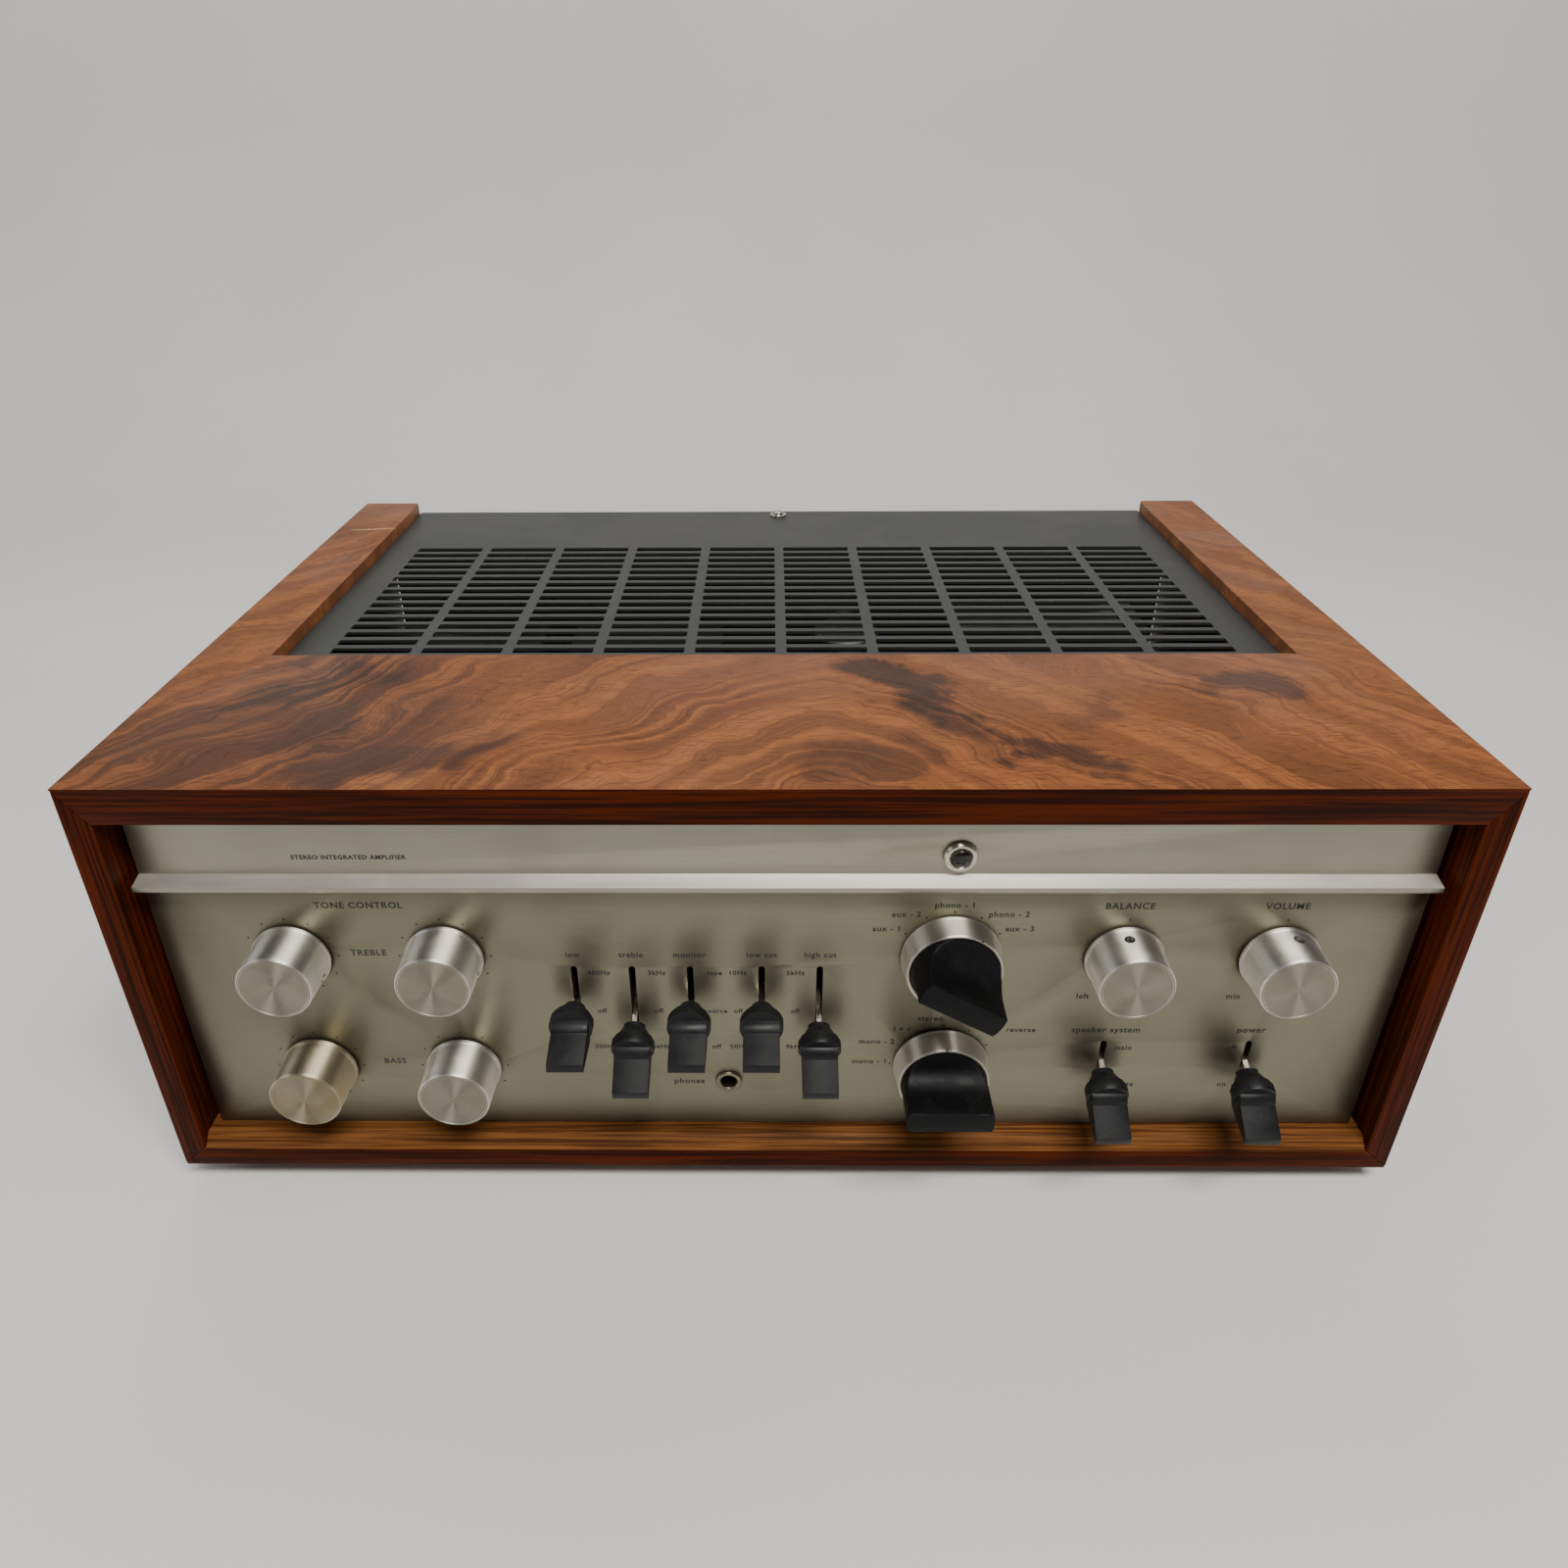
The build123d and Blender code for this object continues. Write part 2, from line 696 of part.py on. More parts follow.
# Levers: a flat metal stalk on a cross pin, with a black cap of a neck, a ringed collar and a drooping paddle
neck_radius = 4.2
neck_end = cap_start + 1.6
ring_start = cap_start + 5.0
collar_start = cap_start + 6.4
paddle_start = cap_start + 10.0
for name, x, z, rest_angle in levers:
    tilt = radians(rest_angle)
    along = Plane(origin=(x, pivot_y, z), x_dir=(1, 0, 0), z_dir=(0, -cos(tilt), -sin(tilt)))
    sideways = Plane(origin=along.origin, x_dir=along.z_dir, z_dir=-along.x_dir)
    with BuildPart(along) as stalk:
        with Locations((0, 0, -4.0)):
            Box(
                stalk_width,
                stalk_height,
                stalk_bury + 4.0,
                align=(Align.CENTER, Align.CENTER, Align.MIN),
            )
        Cylinder(4.0, stalk_width, rotation=(0, 90, 0))
        Cylinder(pin_radius, switch_width - 3, rotation=(0, 90, 0))
    save(stalk.part, "stalk_" + name)

    with BuildPart(along) as cap:
        with Locations((0, 0, cap_start)):
            Cylinder(
                neck_radius,
                neck_end - cap_start,
                align=(Align.CENTER, Align.CENTER, Align.MIN),
            )
        with Locations((0, 0, neck_end)):
            Cone(
                neck_radius + 0.4,
                cap_collar_radius - 1.4,
                ring_start - neck_end,
                align=(Align.CENTER, Align.CENTER, Align.MIN),
            )
        with Locations((0, 0, ring_start)):
            Cylinder(
                cap_collar_radius - 0.8,
                collar_start - ring_start,
                align=(Align.CENTER, Align.CENTER, Align.MIN),
            )
        with Locations((0, 0, collar_start)):
            Cylinder(
                cap_collar_radius,
                paddle_start - collar_start,
                align=(Align.CENTER, Align.CENTER, Align.MIN),
            )
        with BuildSketch(sideways):
            with BuildLine():
                Line((collar_start, 3.6), (paddle_start, 3.6))
                ThreePointArc((paddle_start, 3.6), (paddle_start + 2.0, 2.7), (paddle_start + 3.6, 0.9))
                Line((paddle_start + 3.6, 0.9), (cap_end - 0.8, -2.8))
                Line((cap_end - 0.8, -2.8), (cap_end, -5.8))
                Line((cap_end, -5.8), (paddle_start, -6.8))
                Line((paddle_start, -6.8), (collar_start, -3.6))
                Line((collar_start, -3.6), (collar_start, 3.6))
            make_face()
        extrude(amount=paddle_width / 2, both=True)
        Box(
            stalk_width,
            stalk_height,
            stalk_bury,
            align=(Align.CENTER, Align.CENTER, Align.MIN),
            mode=Mode.SUBTRACT,
        )
    save(cap.part, "cap_" + name)

# Valves and their sockets on the deck
large_socket_height = 12.0
small_socket_height = 7.0
with BuildPart(Plane.XY.offset(deck_z)) as valve_sockets:
    with Locations(*[(x, large_socket_y) for x in large_socket_x]):
        Cylinder(
            large_socket_radius,
            large_socket_height,
            align=(Align.CENTER, Align.CENTER, Align.MIN),
        )
    with Locations(*[(x, small_socket_y) for x in small_socket_x]):
        Cylinder(
            small_socket_radius,
            small_socket_height,
            align=(Align.CENTER, Align.CENTER, Align.MIN),
        )
save(valve_sockets.part, "valve_sockets")

output_valve_radius = 14.5
output_valve_height = 84.0
with BuildPart(Plane.XY.offset(deck_z + large_socket_height)) as output_valves:
    with Locations(*[(x, large_socket_y) for x in large_socket_x]):
        Cylinder(
            output_valve_radius,
            output_valve_height,
            align=(Align.CENTER, Align.CENTER, Align.MIN),
        )
    fillet(output_valves.edges().filter_by(GeomType.CIRCLE).group_by(Axis.Z)[-1], 11)
save(output_valves.part, "output_valves")

small_valve_radius = 10.5
small_valve_height = 46.0
with BuildPart(Plane.XY.offset(deck_z + small_socket_height)) as small_valves:
    with Locations(*[(x, small_socket_y) for x in small_socket_x]):
        Cylinder(
            small_valve_radius,
            small_valve_height,
            align=(Align.CENTER, Align.CENTER, Align.MIN),
        )
    fillet(small_valves.edges().filter_by(GeomType.CIRCLE).group_by(Axis.Z)[-1], 8)
save(small_valves.part, "small_valves")

can_height = 78.0
with BuildPart(Plane.XY.offset(deck_z)) as filter_capacitors:
    with Locations(*[(can_x, y) for y in can_y]):
        Cylinder(can_radius, can_height, align=(Align.CENTER, Align.CENTER, Align.MIN))
    fillet(filter_capacitors.edges().filter_by(GeomType.CIRCLE).group_by(Axis.Z)[-1], 2)
save(filter_capacitors.part, "filter_capacitors")


def transformer(width, depth, height, cover):
    """A standing transformer: a laminated core between two end bells, on four feet tabs."""
    Box(width, depth * 0.42, height, align=(Align.CENTER, Align.CENTER, Align.MIN))
    Box(width - 2 * cover, depth, height - 2 * cover, align=(Align.CENTER, Align.CENTER, Align.MIN))


power_x = 140.0
power_y = front_y + 225.0
with BuildPart(Plane.XY.offset(deck_z)) as power_transformer:
    with Locations((power_x, power_y)):
        transformer(96, 92, 84, 6)
save(power_transformer.part, "power_transformer")

output_x = (-165.0, -70.0)
output_y = front_y + 235.0
with BuildPart(Plane.XY.offset(deck_z)) as output_transformers:
    with Locations(*[(x, output_y) for x in output_x]):
        transformer(80, 72, 70, 5)
save(output_transformers.part, "output_transformers")

# Rear fittings: phono sockets, loudspeaker posts and the gland where the mains cord enters
phono_reach = 8.0
phono_pin_radius = 1.6
with BuildPart() as phono_sockets:
    for z in phono_z:
        for x in phono_x:
            with Locations(Plane(origin=(x, rear_y + sheet, z), x_dir=(-1, 0, 0), z_dir=(0, 1, 0))):
                Cylinder(phono_radius + 1.4, 1.2, align=(Align.CENTER, Align.CENTER, Align.MIN))
                Cylinder(phono_radius, phono_reach, align=(Align.CENTER, Align.CENTER, Align.MIN))
                Cylinder(
                    phono_radius - 0.7,
                    sheet,
                    align=(Align.CENTER, Align.CENTER, Align.MAX),
                )
                Cylinder(
                    phono_pin_radius,
                    2 * phono_reach,
                    align=(Align.CENTER, Align.CENTER, Align.MIN),
                    mode=Mode.SUBTRACT,
                )
save(phono_sockets.part, "phono_sockets")

with BuildPart() as speaker_terminals:
    for x in post_x:
        with Locations(Plane(origin=(x, rear_y + sheet, post_z), x_dir=(-1, 0, 0), z_dir=(0, 1, 0))):
            Cylinder(post_radius + 3.5, 3.0, align=(Align.CENTER, Align.CENTER, Align.MIN))
            Cylinder(post_radius, sheet, align=(Align.CENTER, Align.CENTER, Align.MAX))
            with Locations((0, 0, 3.0)):
                Cylinder(2.2, 3.0, align=(Align.CENTER, Align.CENTER, Align.MIN))
            with Locations((0, 0, 6.0)):
                Cylinder(post_radius + 2.0, 9.0, align=(Align.CENTER, Align.CENTER, Align.MIN))
save(speaker_terminals.part, "speaker_terminals")

gland_bore_radius = 3.3
with BuildPart(Plane(origin=(inlet_x, rear_y + sheet, inlet_z), x_dir=(-1, 0, 0), z_dir=(0, 1, 0))) as mains_inlet:
    Cylinder(inlet_radius + 3, 2.0, align=(Align.CENTER, Align.CENTER, Align.MIN))
    Cylinder(inlet_radius, 10.0, align=(Align.CENTER, Align.CENTER, Align.MIN))
    Cylinder(inlet_radius, 6.0, align=(Align.CENTER, Align.CENTER, Align.MAX))
    Cylinder(gland_bore_radius, 60.0, mode=Mode.SUBTRACT)
save(mains_inlet.part, "mains_inlet")
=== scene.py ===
import json
import math

import bpy
from mathutils import Matrix, Vector


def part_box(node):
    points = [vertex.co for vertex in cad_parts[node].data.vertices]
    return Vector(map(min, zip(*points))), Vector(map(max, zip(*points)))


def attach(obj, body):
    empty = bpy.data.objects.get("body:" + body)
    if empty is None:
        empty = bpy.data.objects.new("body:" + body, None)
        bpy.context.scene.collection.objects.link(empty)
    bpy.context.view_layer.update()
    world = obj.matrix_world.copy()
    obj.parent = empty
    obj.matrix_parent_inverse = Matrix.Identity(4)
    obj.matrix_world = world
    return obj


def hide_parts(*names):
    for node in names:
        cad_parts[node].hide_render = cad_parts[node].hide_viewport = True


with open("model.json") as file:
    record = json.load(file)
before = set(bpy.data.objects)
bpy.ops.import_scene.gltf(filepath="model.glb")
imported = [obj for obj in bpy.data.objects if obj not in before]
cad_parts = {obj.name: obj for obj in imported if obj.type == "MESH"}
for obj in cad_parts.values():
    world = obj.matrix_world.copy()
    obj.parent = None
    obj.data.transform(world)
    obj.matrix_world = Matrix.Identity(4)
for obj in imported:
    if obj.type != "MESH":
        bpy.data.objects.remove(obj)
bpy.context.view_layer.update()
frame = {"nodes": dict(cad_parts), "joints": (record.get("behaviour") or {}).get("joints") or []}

# Everything is in metres; MM turns the millimetres that the sizes are given in into metres.
MM = 0.001
CABINET = "amplifier"

# Places that the other pieces are laid out from
PANEL_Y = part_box("front_panel")[0][1]
FRONT_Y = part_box("cabinet_top")[0][1]
REAR_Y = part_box("rear_panel")[1][1]
REAR_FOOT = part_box("rear_panel")[0][2]
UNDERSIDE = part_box("cabinet_front_rail")[0][2]
KNOBS = ("treble_left", "treble_right", "bass_left", "bass_right", "balance", "volume")
SELECTORS = ("source_selector", "mode_selector")
LEVERS = tuple("lever_%d" % number for number in range(1, 8))
PIVOT = {joint["child"]: Vector(joint["pos_m"]) for joint in frame["joints"]}


# ---------------------------------------------------------------- shader tools

def plug(tree, socket, value):
    """Give a socket a plain value or link another node's output to it."""
    if isinstance(value, bpy.types.NodeSocket):
        tree.links.new(value, socket)
    else:
        socket.default_value = value


def add_node(tree, kind, inputs, **settings):
    """A shader node with its settings and its inputs."""
    made = tree.nodes.new(kind)
    for key, value in settings.items():
        setattr(made, key, value)
    for key, value in inputs.items():
        plug(tree, made.inputs[key], value)
    return made


def calc(tree, operation, first, second=0.0, third=0.0, clamp=False):
    """The output of a Math node."""
    inputs = {0: first, 1: second, 2: third}
    return add_node(tree, "ShaderNodeMath", inputs, operation=operation, use_clamp=clamp).outputs[0]


def combine(tree, operation, first, second):
    """The output of a Vector Math node."""
    return add_node(tree, "ShaderNodeVectorMath", {0: first, 1: second}, operation=operation).outputs[0]


def stretch(tree, value, low, high, new_low=0.0, new_high=1.0):
    """A value mapped smoothly from one range to another."""
    inputs = {"Value": value, "From Min": low, "From Max": high, "To Min": new_low, "To Max": new_high}
    return add_node(tree, "ShaderNodeMapRange", inputs, interpolation_type="SMOOTHSTEP").outputs[0]


def rgba(color):
    """A colour as the nodes take it; a node's output stays as it is."""
    return color if isinstance(color, bpy.types.NodeSocket) else (*color, 1.0)


def blend_colors(tree, factor, first, second):
    """The output of a Mix node between two colours."""
    inputs = {0: factor, 6: rgba(first), 7: rgba(second)}
    return add_node(tree, "ShaderNodeMix", inputs, data_type="RGBA").outputs[2]


def wash(tree, tone, mask, amount, color):
    """A tone with some of a colour laid over it where the mask is."""
    return blend_colors(tree, calc(tree, "MULTIPLY", mask, amount), tone, color)


def toned(color, factors):
    """A colour with each channel scaled."""
    return tuple(channel * factor for channel, factor in zip(color, factors))


def lifted(color, gain, base):
    """A colour made lighter all over."""
    return tuple(channel * gain + base for channel in color)


def noise(tree, vector, scale, detail=2.0, roughness=0.5, distortion=0.0, output=0):
    """The value of a 3-D noise texture, or its colour."""
    inputs = {"Vector": vector, "Scale": scale, "Detail": detail, "Roughness": roughness}
    inputs["Distortion"] = distortion
    return add_node(tree, "ShaderNodeTexNoise", inputs).outputs[output]


def wander(tree, vector, scale, detail, reach, roughness=0.5):
    """How far slow noise pushes a place: up to half of the reach on each axis."""
    color = noise(tree, vector, scale, detail, roughness, output="Color")
    return combine(tree, "MULTIPLY", combine(tree, "SUBTRACT", color, (0.5, 0.5, 0.5)), reach)


def line_noise(tree, value, scale, detail=2.0, roughness=0.5):
    """Noise that varies along one value only."""
    inputs = {"W": value, "Scale": scale, "Detail": detail, "Roughness": roughness}
    return add_node(tree, "ShaderNodeTexNoise", inputs, noise_dimensions="1D").outputs[0]


def bump(tree, height, distance, strength=1.0):
    """The normal of a Bump node, its distance in metres."""
    inputs = {"Height": height, "Distance": distance, "Strength": strength}
    return add_node(tree, "ShaderNodeBump", inputs).outputs[0]


def group(name, inputs, outputs):
    """An empty shader group with its named sockets; returns the group, its input node and its output node."""
    tree = bpy.data.node_groups.new(name, "ShaderNodeTree")
    for socket, kind, default in inputs:
        made = tree.interface.new_socket(name=socket, in_out="INPUT", socket_type=kind)
        if default is not None:
            made.default_value = default
    for socket in outputs:
        tree.interface.new_socket(name=socket, in_out="OUTPUT", socket_type="NodeSocketFloat")
    return tree, tree.nodes.new("NodeGroupInput"), tree.nodes.new("NodeGroupOutput")


def use(tree, shared, **inputs):
    """A shared group placed in a material with its own values."""
    made = tree.nodes.new("ShaderNodeGroup")
    made.node_tree = shared
    for key, value in inputs.items():
        plug(tree, made.inputs[key.replace("_", " ")], value)
    return made


def place_in_mm(tree, turn=(0.0, 0.0, 0.0), shift=(0.0, 0.0, 0.0)):
    """Object coordinates in millimetres, turned and shifted on the piece."""
    coordinates = add_node(tree, "ShaderNodeTexCoord", {}).outputs["Object"]
    inputs = {"Vector": coordinates, "Location": shift, "Rotation": turn, "Scale": (1000.0, 1000.0, 1000.0)}
    return add_node(tree, "ShaderNodeMapping", inputs).outputs[0]


def new_material(name, color, **constants):
    """A material with one Principled shader; the constants go on its own sockets."""
    made = bpy.data.materials.new(name)
    made.use_nodes = True
    made.diffuse_color = rgba(color)
    shader = made.node_tree.nodes["Principled BSDF"]
    shader.inputs["Base Color"].default_value = rgba(color)
    for key, value in constants.items():
        shader.inputs[key.replace("_", " ")].default_value = value
    return made, made.node_tree, shader


def feed(tree, shader, **sockets):
    """Links outputs into the shader's sockets."""
    for key, output in sockets.items():
        tree.links.new(output, shader.inputs[key.replace("_", " ")])


# ---------------------------------------------------------------- shared effects

FLOAT = "NodeSocketFloat"
VECTOR = "NodeSocketVector"
PEAK_ROUNDING = 900.0


def make_figure_group():
    """Veneer figure on a sheet that lies along X and Y, in millimetres: flame bands, clouds, pores."""
    tree, source, result = group(
        "veneer figure",
        (("Vector", VECTOR, None), ("Peak", FLOAT, 0.0), ("Slope", FLOAT, 1.1), ("Band", FLOAT, 0.055)),
        ("Bands", "Streaks", "Clouds", "Pores"),
    )
    flat = source.outputs["Vector"]
    moved = combine(tree, "ADD", flat, wander(tree, flat, 0.014, 2.0, (70.0, 52.0, 40.0)))
    moved = combine(tree, "ADD", moved, wander(tree, flat, 0.06, 3.0, (14.0, 10.0, 10.0)))
    parts = add_node(tree, "ShaderNodeSeparateXYZ", {0: moved})
    from_peak = calc(tree, "SUBTRACT", parts.outputs["X"], source.outputs["Peak"])
    arms = calc(tree, "SQRT", calc(tree, "ADD", calc(tree, "MULTIPLY", from_peak, from_peak), PEAK_ROUNDING))
    field = calc(tree, "MULTIPLY_ADD", arms, source.outputs["Slope"], parts.outputs["Y"])
    along_bands = calc(tree, "MULTIPLY", field, source.outputs["Band"])
    pores = noise(tree, combine(tree, "MULTIPLY", flat, (0.16, 1.3, 1.3)), 1.0, 2.0, 0.6)
    for output, value in (
        ("Bands", line_noise(tree, along_bands, 1.0, 3.0, 0.55)),
        ("Streaks", line_noise(tree, along_bands, 9.0, 4.0, 0.6)),
        ("Clouds", noise(tree, combine(tree, "MULTIPLY", moved, (0.7, 1.0, 1.0)), 0.016, 3.0, 0.55)),
        ("Pores", stretch(tree, pores, 0.52, 0.68)),
    ):
        tree.links.new(value, result.inputs[output])
    return tree


def make_brushing_group():
    """Fine parallel lines: noise drawn out along the first axis of the vector it is given, in millimetres."""
    tree, source, result = group(
        "brushing",
        (("Vector", VECTOR, None), ("Along", FLOAT, 0.02), ("Across", FLOAT, 4.0)),
        ("Lines",),
    )
    along, across = source.outputs["Along"], source.outputs["Across"]
    reach = add_node(tree, "ShaderNodeCombineXYZ", {0: along, 1: across, 2: across}).outputs[0]
    drawn = combine(tree, "MULTIPLY", source.outputs["Vector"], reach)
    tree.links.new(noise(tree, drawn, 1.0, 3.0, 0.65), result.inputs["Lines"])
    return tree


def make_handling_group():
    """Slow smudges and small specks left by handling and dust, for a vector in millimetres."""
    tree, source, result = group(
        "handling",
        (("Vector", VECTOR, None), ("Smudge Size", FLOAT, 30.0), ("Speck Size", FLOAT, 0.8)),
        ("Smudges", "Specks"),
    )
    flat = source.outputs["Vector"]
    slow = calc(tree, "DIVIDE", 1.0, source.outputs["Smudge Size"])
    quick = calc(tree, "DIVIDE", 1.0, source.outputs["Speck Size"])
    smudges = noise(tree, flat, slow, 4.0, 0.6, 0.4)
    specks = noise(tree, flat, quick, 1.0, 0.4)
    tree.links.new(stretch(tree, smudges, 0.35, 0.68), result.inputs["Smudges"])
    tree.links.new(stretch(tree, specks, 0.69, 0.76), result.inputs["Specks"])
    return tree


FIGURE = make_figure_group()
BRUSHING = make_brushing_group()
HANDLING = make_handling_group()


# ---------------------------------------------------------------- materials

LIGHT_WOOD = (0.320, 0.108, 0.030)
WARM_WOOD = (0.170, 0.055, 0.016)
LINE_WOOD = (0.062, 0.019, 0.007)
DARK_WOOD = (0.026, 0.012, 0.008)
BARE_WOOD = (0.62, 0.34, 0.16)
EDGE_WOOD = (0.080, 0.012, 0.0012)
EDGE_DARK = (0.020, 0.004, 0.001)
ANY_DEPTH = 100000.0


def patch(tree, flat, centre, reach, angle):
    """A soft patch of the veneer: 1 at its centre, 0 outside its reach, in millimetres."""
    inputs = {
        "Vector": flat,
        "Location": (centre[0], centre[1], 0.0),
        "Rotation": (0.0, 0.0, math.radians(angle)),
        "Scale": (reach[0], reach[1], ANY_DEPTH),
    }
    local = add_node(tree, "ShaderNodeMapping", inputs, vector_type="TEXTURE").outputs[0]
    return add_node(tree, "ShaderNodeTexGradient", {0: local}, gradient_type="SPHERICAL").outputs[1]


def veneer(name, turn=(0.0, 0.0, 0.0), shift=(0.0, 0.0, 0.0), patches=(), scratch=None, peak=0.0):
    """Oiled figured veneer under a thin lacquer."""
    made, tree, shader = new_material(name, LIGHT_WOOD, Specular_IOR_Level=0.20, Coat_Roughness=0.30)
    flat = place_in_mm(tree, turn, shift)
    figure = use(tree, FIGURE, Vector=flat, Peak=peak)
    bands, streaks, clouds, pores = (figure.outputs[each] for each in ("Bands", "Streaks", "Clouds", "Pores"))
    tone = blend_colors(tree, stretch(tree, bands, 0.32, 0.68, 0.15, 1.0), WARM_WOOD, LIGHT_WOOD)
    present = stretch(tree, noise(tree, flat, 0.011, 2.0), 0.42, 0.62)
    off_line = calc(tree, "ABSOLUTE", calc(tree, "SUBTRACT", bands, 0.47))
    tone = wash(tree, tone, stretch(tree, off_line, 0.0, 0.07, 0.60, 0.0), present, LINE_WOOD)
    tone = blend_colors(tree, stretch(tree, streaks, 0.46, 0.76, 0.0, 0.62), tone, LINE_WOOD)
    shimmer = noise(tree, combine(tree, "MULTIPLY", flat, (0.05, 0.22, 0.22)), 1.0, 3.0, 0.6)
    tone = blend_colors(tree, stretch(tree, shimmer, 0.35, 0.7, 0.0, 0.45), tone, WARM_WOOD)
    dark = stretch(tree, clouds, 0.58, 0.78, 0.0, 0.45)
    smoke = combine(tree, "ADD", flat, wander(tree, flat, 0.028, 5.0, (70.0, 70.0, 0.0), 0.62))
    ragged = stretch(tree, clouds, 0.30, 0.62, 0.55, 1.45)
    ragged = calc(tree, "MULTIPLY", ragged, stretch(tree, bands, 0.30, 0.66, 1.15, 0.55))
    for centre, reach, angle, depth in patches:
        spot = calc(tree, "MULTIPLY", patch(tree, smoke, centre, reach, angle), ragged)
        dark = calc(tree, "MAXIMUM", dark, stretch(tree, spot, 0.0, 0.62, 0.0, depth))
    dark = calc(tree, "MULTIPLY", dark, stretch(tree, streaks, 0.2, 0.7, 0.75, 1.05), clamp=True)
    tone = blend_colors(tree, dark, tone, DARK_WOOD)
    tone = wash(tree, tone, pores, 0.62, LINE_WOOD)
    smudges = use(tree, HANDLING, Vector=flat, Smudge_Size=70.0, Speck_Size=1.3).outputs["Smudges"]
    if scratch:
        broken = stretch(tree, noise(tree, flat, 0.5, 3.0), 0.35, 0.5)
        tone = wash(tree, tone, stretch(tree, patch(tree, flat, *scratch), 0.3, 0.6), broken, BARE_WOOD)
    height = calc(tree, "MULTIPLY_ADD", pores, -1.0, calc(tree, "MULTIPLY", streaks, 0.6))
    feed(
        tree, shader, Base_Color=tone, Roughness=stretch(tree, smudges, 0.0, 1.0, 0.42, 0.56),
        Normal=bump(tree, height, 0.00005, 0.6), Coat_Weight=stretch(tree, smudges, 0.0, 1.0, 0.08, 0.03),
    )
    return made


def lipping(name, turn=(0.0, 0.0, 0.0), light=EDGE_WOOD, dark=EDGE_DARK):
    """Solid wood with straight grain along the piece, for the cabinet's front edges."""
    made, tree, shader = new_material(name, light, Specular_IOR_Level=0.06)
    flat = place_in_mm(tree, turn)
    grain = use(tree, BRUSHING, Vector=flat, Along=0.012, Across=0.55).outputs[0]
    fine = use(tree, BRUSHING, Vector=flat, Along=0.08, Across=2.6).outputs[0]
    tone = blend_colors(tree, stretch(tree, grain, 0.36, 0.64), dark, light)
    tone = blend_colors(tree, stretch(tree, fine, 0.58, 0.74, 0.0, 0.6), tone, dark)
    feed(
        tree, shader, Base_Color=tone, Roughness=stretch(tree, fine, 0.2, 0.8, 0.38, 0.55),
        Normal=bump(tree, fine, 0.00006, 0.5),
    )
    return made


def handled(name, color, smudge_size, speck_size, turn=(0.0, 0.0, 0.0), **constants):
    """A new material with its places in millimetres and its smudges and specks."""
    made, tree, shader = new_material(name, color, **constants)
    flat = place_in_mm(tree, turn)
    marks = use(tree, HANDLING, Vector=flat, Smudge_Size=smudge_size, Speck_Size=speck_size)
    return made, tree, shader, flat, marks.outputs["Smudges"], marks.outputs["Specks"]


def grained_sheen(tree, smudges, low, high, lines, share):
    """Roughness that changes with the smudges, and a little with fine lines."""
    return calc(tree, "ADD", stretch(tree, smudges, 0.0, 1.0, low, high), calc(tree, "MULTIPLY", lines, share))


def brushed(name, color, low=0.30, high=0.42, along=0.02, across=5.0, turn=(0.0, 0.0, 0.0), **constants):
    """Anodised sheet metal with fine parallel brushing and faint smudges."""
    made, tree, shader, flat, smudges, specks = handled(name, color, 60.0, 0.7, turn, Metallic=1.0, **constants)
    lines = use(tree, BRUSHING, Vector=flat, Along=along, Across=across).outputs[0]
    stain = toned(color, (0.82, 0.76, 0.62))
    tone = blend_colors(tree, stretch(tree, lines, 0.25, 0.75), toned(color, (0.86, 0.86, 0.86)), color)
    tone = wash(tree, tone, smudges, 0.12, stain)
    tone = wash(tree, tone, specks, 0.25, stain)
    rough = grained_sheen(tree, smudges, low, high, lines, 0.08)
    feed(tree, shader, Base_Color=tone, Roughness=rough, Normal=bump(tree, lines, 0.000008, 0.5))
    return made


def turned_metal(name, color, low, high, patina=0.25):
    """Lathe-turned metal: fine rings that follow the piece's own map, with a light patina."""
    made, tree, shader, _, smudges, _ = handled(
        name, color, 14.0, 0.6, Metallic=1.0, Anisotropic=0.92, Anisotropic_Rotation=0.25,
    )
    turns = add_node(tree, "ShaderNodeUVMap", {}, uv_map="turning").outputs[0]
    rings = line_noise(tree, add_node(tree, "ShaderNodeSeparateXYZ", {0: turns}).outputs["Y"], 3.5, 3.0, 0.7)
    tone = blend_colors(tree, stretch(tree, rings, 0.3, 0.7), toned(color, (0.80, 0.80, 0.80)), color)
    tone = wash(tree, tone, smudges, patina, toned(color, (0.86, 0.78, 0.60)))
    tangent = add_node(tree, "ShaderNodeTangent", {}, direction_type="UV_MAP", uv_map="turning").outputs[0]
    feed(
        tree, shader, Base_Color=tone, Roughness=grained_sheen(tree, smudges, low, high, rings, 0.10),
        Normal=bump(tree, rings, 0.00002, 0.45), Tangent=tangent,
    )
    return made


def coated(name, color, sizes, smudge, speck, low, high, grain, **constants):
    """A coating with smudges, specks and a fine grain; smudge and speck are each an amount and a colour."""
    made, tree, shader, flat, smudges, specks = handled(name, color, *sizes, **constants)
    scale, detail, roughness, distance, strength = grain
    feed(
        tree, shader, Base_Color=wash(tree, wash(tree, color, smudges, *smudge), specks, *speck),
        Roughness=stretch(tree, smudges, 0.0, 1.0, low, high),
        Normal=bump(tree, noise(tree, flat, scale, detail, roughness), distance, strength),
    )
    return made


def moulded(name, color, low, high, grain=0.35, **constants):
    """Moulded plastic or rubber: a fine pebble, worn a little smoother in places, with some dust."""
    smudge, speck = (0.35, lifted(color, 1.6, 0.004)), (0.10, (0.30, 0.29, 0.27))
    pebble = (3.2, 2.0, 0.55, 0.00002, grain)
    return coated(name, color, (9.0, 0.45), smudge, speck, low, high, pebble, **constants)


